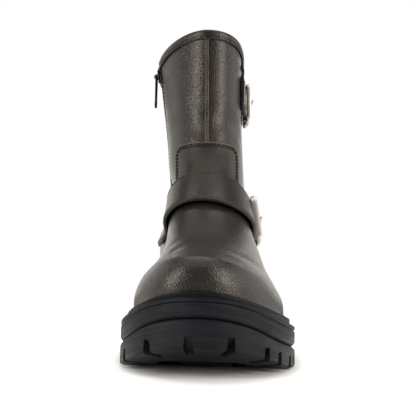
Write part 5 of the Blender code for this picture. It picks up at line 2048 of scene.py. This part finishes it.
        eye_faces = [face for face in mesh.faces if in_eye(face.calc_center_median())]
        bmesh.ops.delete(mesh, geom=eye_faces, context="FACES")
        if sum(face.normal.x for face in mesh.faces) < 0:
            bmesh.ops.reverse_faces(mesh, faces=mesh.faces)
        self.shop.piece("zip_pull_tab", mesh, self.looks.gunmetal, Slot.ZIP, body=Body.PULL,
                        stands_for=["zip_pull"], steps=[Step.wall(self.pull_thick), Step.rounded(0.3, 2)])


@dataclass(frozen=True)
class Softbox:
    """One area light aimed at the boot."""

    name: str
    place: tuple[float, float, float]
    aim: tuple[float, float, float]
    size: tuple[float, float]
    watts: float


@dataclass
class Studio:
    """Pale floor that glows as painted light away from the boot, soft light and the camera at the
    photograph's angle.
    """

    camera_place: tuple[float, float, float] = (0.00107, -0.51595, 0.05067)
    yaw_deg: float = -0.47
    pitch_deg: float = 5.43
    roll_deg: float = 1.29
    focal_px: float = 741.7
    image_px: float = 416.0
    sensor_mm: float = 36.0
    warmth: Colour = (1.0, 0.955, 0.90)
    fill: float = 0.06
    # Strength of the floor's painted light, which glows everywhere outside the ellipse round the sole
    floor_painted_light: float = 0.9
    floor_size: float = 0.6
    floor_fade: tuple[float, float] = (0.19, 0.36)
    # Size of the ellipse round the sole, and the range over it where the painted light fades in, which paints
    # a soft shadow under the boot
    shadow_ellipse_per_metre: tuple[float, float, float] = (19.1, 7.09, 0.0)
    painted_shadow_range: tuple[float, float] = (1.0, 1.42)
    softboxes: tuple[Softbox, ...] = (
        Softbox("left_box", (-0.93, -0.68, 0.42), (0.0, 0.0, 0.12), (0.30, 0.84), 9.7),
        Softbox("right_box", (0.95, -0.64, 0.42), (0.0, 0.0, 0.12), (0.42, 0.84), 11.0),
        Softbox("top_box", (0.0, 0.56, 1.30), (0.0, -0.05, 0.1), (1.0, 0.28), 3.6),
        Softbox("left_side", (-1.2, 0.60, 0.5), (0.0, 0.0, 0.12), (1.0, 1.2), 5.0),
        Softbox("right_side", (1.25, 0.50, 0.5), (0.0, 0.0, 0.12), (1.0, 1.2), 5.5),
        Softbox("back_box", (0.0, 1.35, 0.38), (0.0, 0.0, 0.08), (1.8, 0.7), 7.0),
        Softbox("front_top", (0.0, -0.30, 1.25), (0.0, -0.02, 0.1), (1.8, 1.0), 7.0),
    )

    def build(self) -> None:
        """Make the floor, the world, the lights and the camera."""
        self.floor()
        self.world()
        for box in self.softboxes:
            self.light(box)
        self.camera()

    def floor(self) -> None:
        """Pale floor under the boot that fades into the white backdrop; it glows as painted light outside an
        ellipse round the sole, so the soft shadow under the boot is partly painted.
        """
        mesh = bmesh.new()
        bmesh.ops.create_grid(mesh, x_segments=1, y_segments=1, size=self.floor_size)
        data = bpy.data.meshes.new("studio_floor")
        mesh.to_mesh(data)
        mesh.free()
        made = bpy.data.materials.new("studio_floor")
        made.use_nodes = True
        graph = Graph(made.node_tree)
        place = graph.add("ShaderNodeTexCoord").outputs["Object"]
        boot = graph.vector("MULTIPLY", {0: place, 1: self.shadow_ellipse_per_metre})[0]
        beside = graph.vector("LENGTH", {0: boot})["Value"]
        # Painted light: the floor glows outside the ellipse and not inside it, which paints a soft shadow
        # round the sole
        painted_light_mask = graph.ramp(beside, *self.painted_shadow_range)
        away = graph.vector("LENGTH", {0: place})["Value"]
        fade = graph.ramp(away, *self.floor_fade, 1.0, 0.0)
        graph.feed(made.node_tree.nodes["Principled BSDF"], {
            "Base Color": (0.9, 0.9, 0.9, 1.0), "Roughness": 0.7, "Emission Strength": self.floor_painted_light,
            "Emission Color": painted_light_mask, "Alpha": fade})
        data.materials.append(made)
        placed("studio_floor", data)

    def world(self) -> None:
        """White backdrop for the camera and a dimmer fill for the boot."""
        world = bpy.data.worlds.new("studio")
        world.use_nodes = True
        graph = Graph(world.node_tree)
        graph.tree.nodes.clear()
        seen = graph.add("ShaderNodeBackground", {"Color": (1, 1, 1, 1), "Strength": 1.0})
        fill = graph.add("ShaderNodeBackground", {"Color": (1, 1, 1, 1), "Strength": self.fill})
        path = graph.add("ShaderNodeLightPath")
        either = graph.add("ShaderNodeMixShader", {0: path.outputs["Is Camera Ray"], 1: fill.outputs[0],
                                                   2: seen.outputs[0]})
        graph.add("ShaderNodeOutputWorld", {"Surface": either.outputs[0]})
        bpy.context.scene.world = world

    def light(self, box: Softbox) -> None:
        """Make one softbox."""
        data = bpy.data.lights.new(box.name, "AREA")
        data.shape = "RECTANGLE"
        data.size, data.size_y = box.size
        data.energy = box.watts
        data.color = self.warmth
        made = placed(box.name, data)
        made.location = box.place
        made.rotation_euler = (Vector(box.aim) - Vector(box.place)).to_track_quat("-Z", "Y").to_euler()
        made.visible_camera = False

    def camera(self) -> None:
        """Camera fitted to the photograph's outline of the boot."""
        yaw, pitch, roll = (math.radians(a) for a in (self.yaw_deg, self.pitch_deg, self.roll_deg))
        forward = Vector((math.sin(yaw) * math.cos(pitch), math.cos(yaw) * math.cos(pitch), math.sin(pitch)))
        level = Vector((math.cos(yaw), -math.sin(yaw), 0))
        upright = level.cross(forward)
        right = level * math.cos(roll) + upright * math.sin(roll)
        up = upright * math.cos(roll) - level * math.sin(roll)
        data = bpy.data.cameras.new("camera")
        data.sensor_fit = "HORIZONTAL"
        data.sensor_width = self.sensor_mm
        data.lens = self.sensor_mm * self.focal_px / self.image_px
        data.clip_start = 0.01
        made = placed("camera", data)
        place = Matrix((right, up, -forward)).transposed().to_4x4()
        place.translation = self.camera_place
        made.matrix_world = place
        bpy.context.scene.camera = made
        bpy.context.scene.view_settings.view_transform = "Standard"


def main() -> None:
    """Build the boot's looks on its frame, from the floor up, then the studio."""
    logging.basicConfig(level=logging.INFO, format="%(name)s: %(message)s")
    for old in list(bpy.data.objects):
        bpy.data.objects.remove(old)
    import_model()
    last = Last()
    kit = (Workshop(), Looks.make(), last, Thread())
    instep = StrapRun(last, y=-6.0, z=109.6, fall_deg=37.0, end_fall_deg=4.0, bend_y=12.0, half=16.6,
                      buckle_half=13.9, thick=2.2, bar_y=16.0, frame_length=21.0, frame_width=35.4,
                      start_y=ZIP_Y - 7.0, start_side=Side.INNER, end_y=62.0, centre_lift=2.3, start_sink=1.4)
    shaft = StrapRun(last, y=47.0, z=195.0, fall_deg=9.5, end_fall_deg=9.5, bend_y=47.0, half=11.5,
                     buckle_half=11.5, thick=2.2, bar_y=65.0, frame_length=20.0, frame_width=33.0,
                     start_y=47.0, start_side=Side.OUTER, end_y=124.0, centre_lift=0.6)
    upper = Upper(*kit)
    for assembly in (Sole(*kit), upper, InstepPanel(*kit, instep), CollarBinding(*kit),
                     ElasticGore(*kit, upper), SideZip(*kit),
                     BuckledStrap(*kit, "instep", instep, front_deep=1.95, front_bar_out=5.7),
                     BuckledStrap(*kit, "shaft", shaft), Studio()):
        assembly.build()


if __name__ == "__main__":
    main()
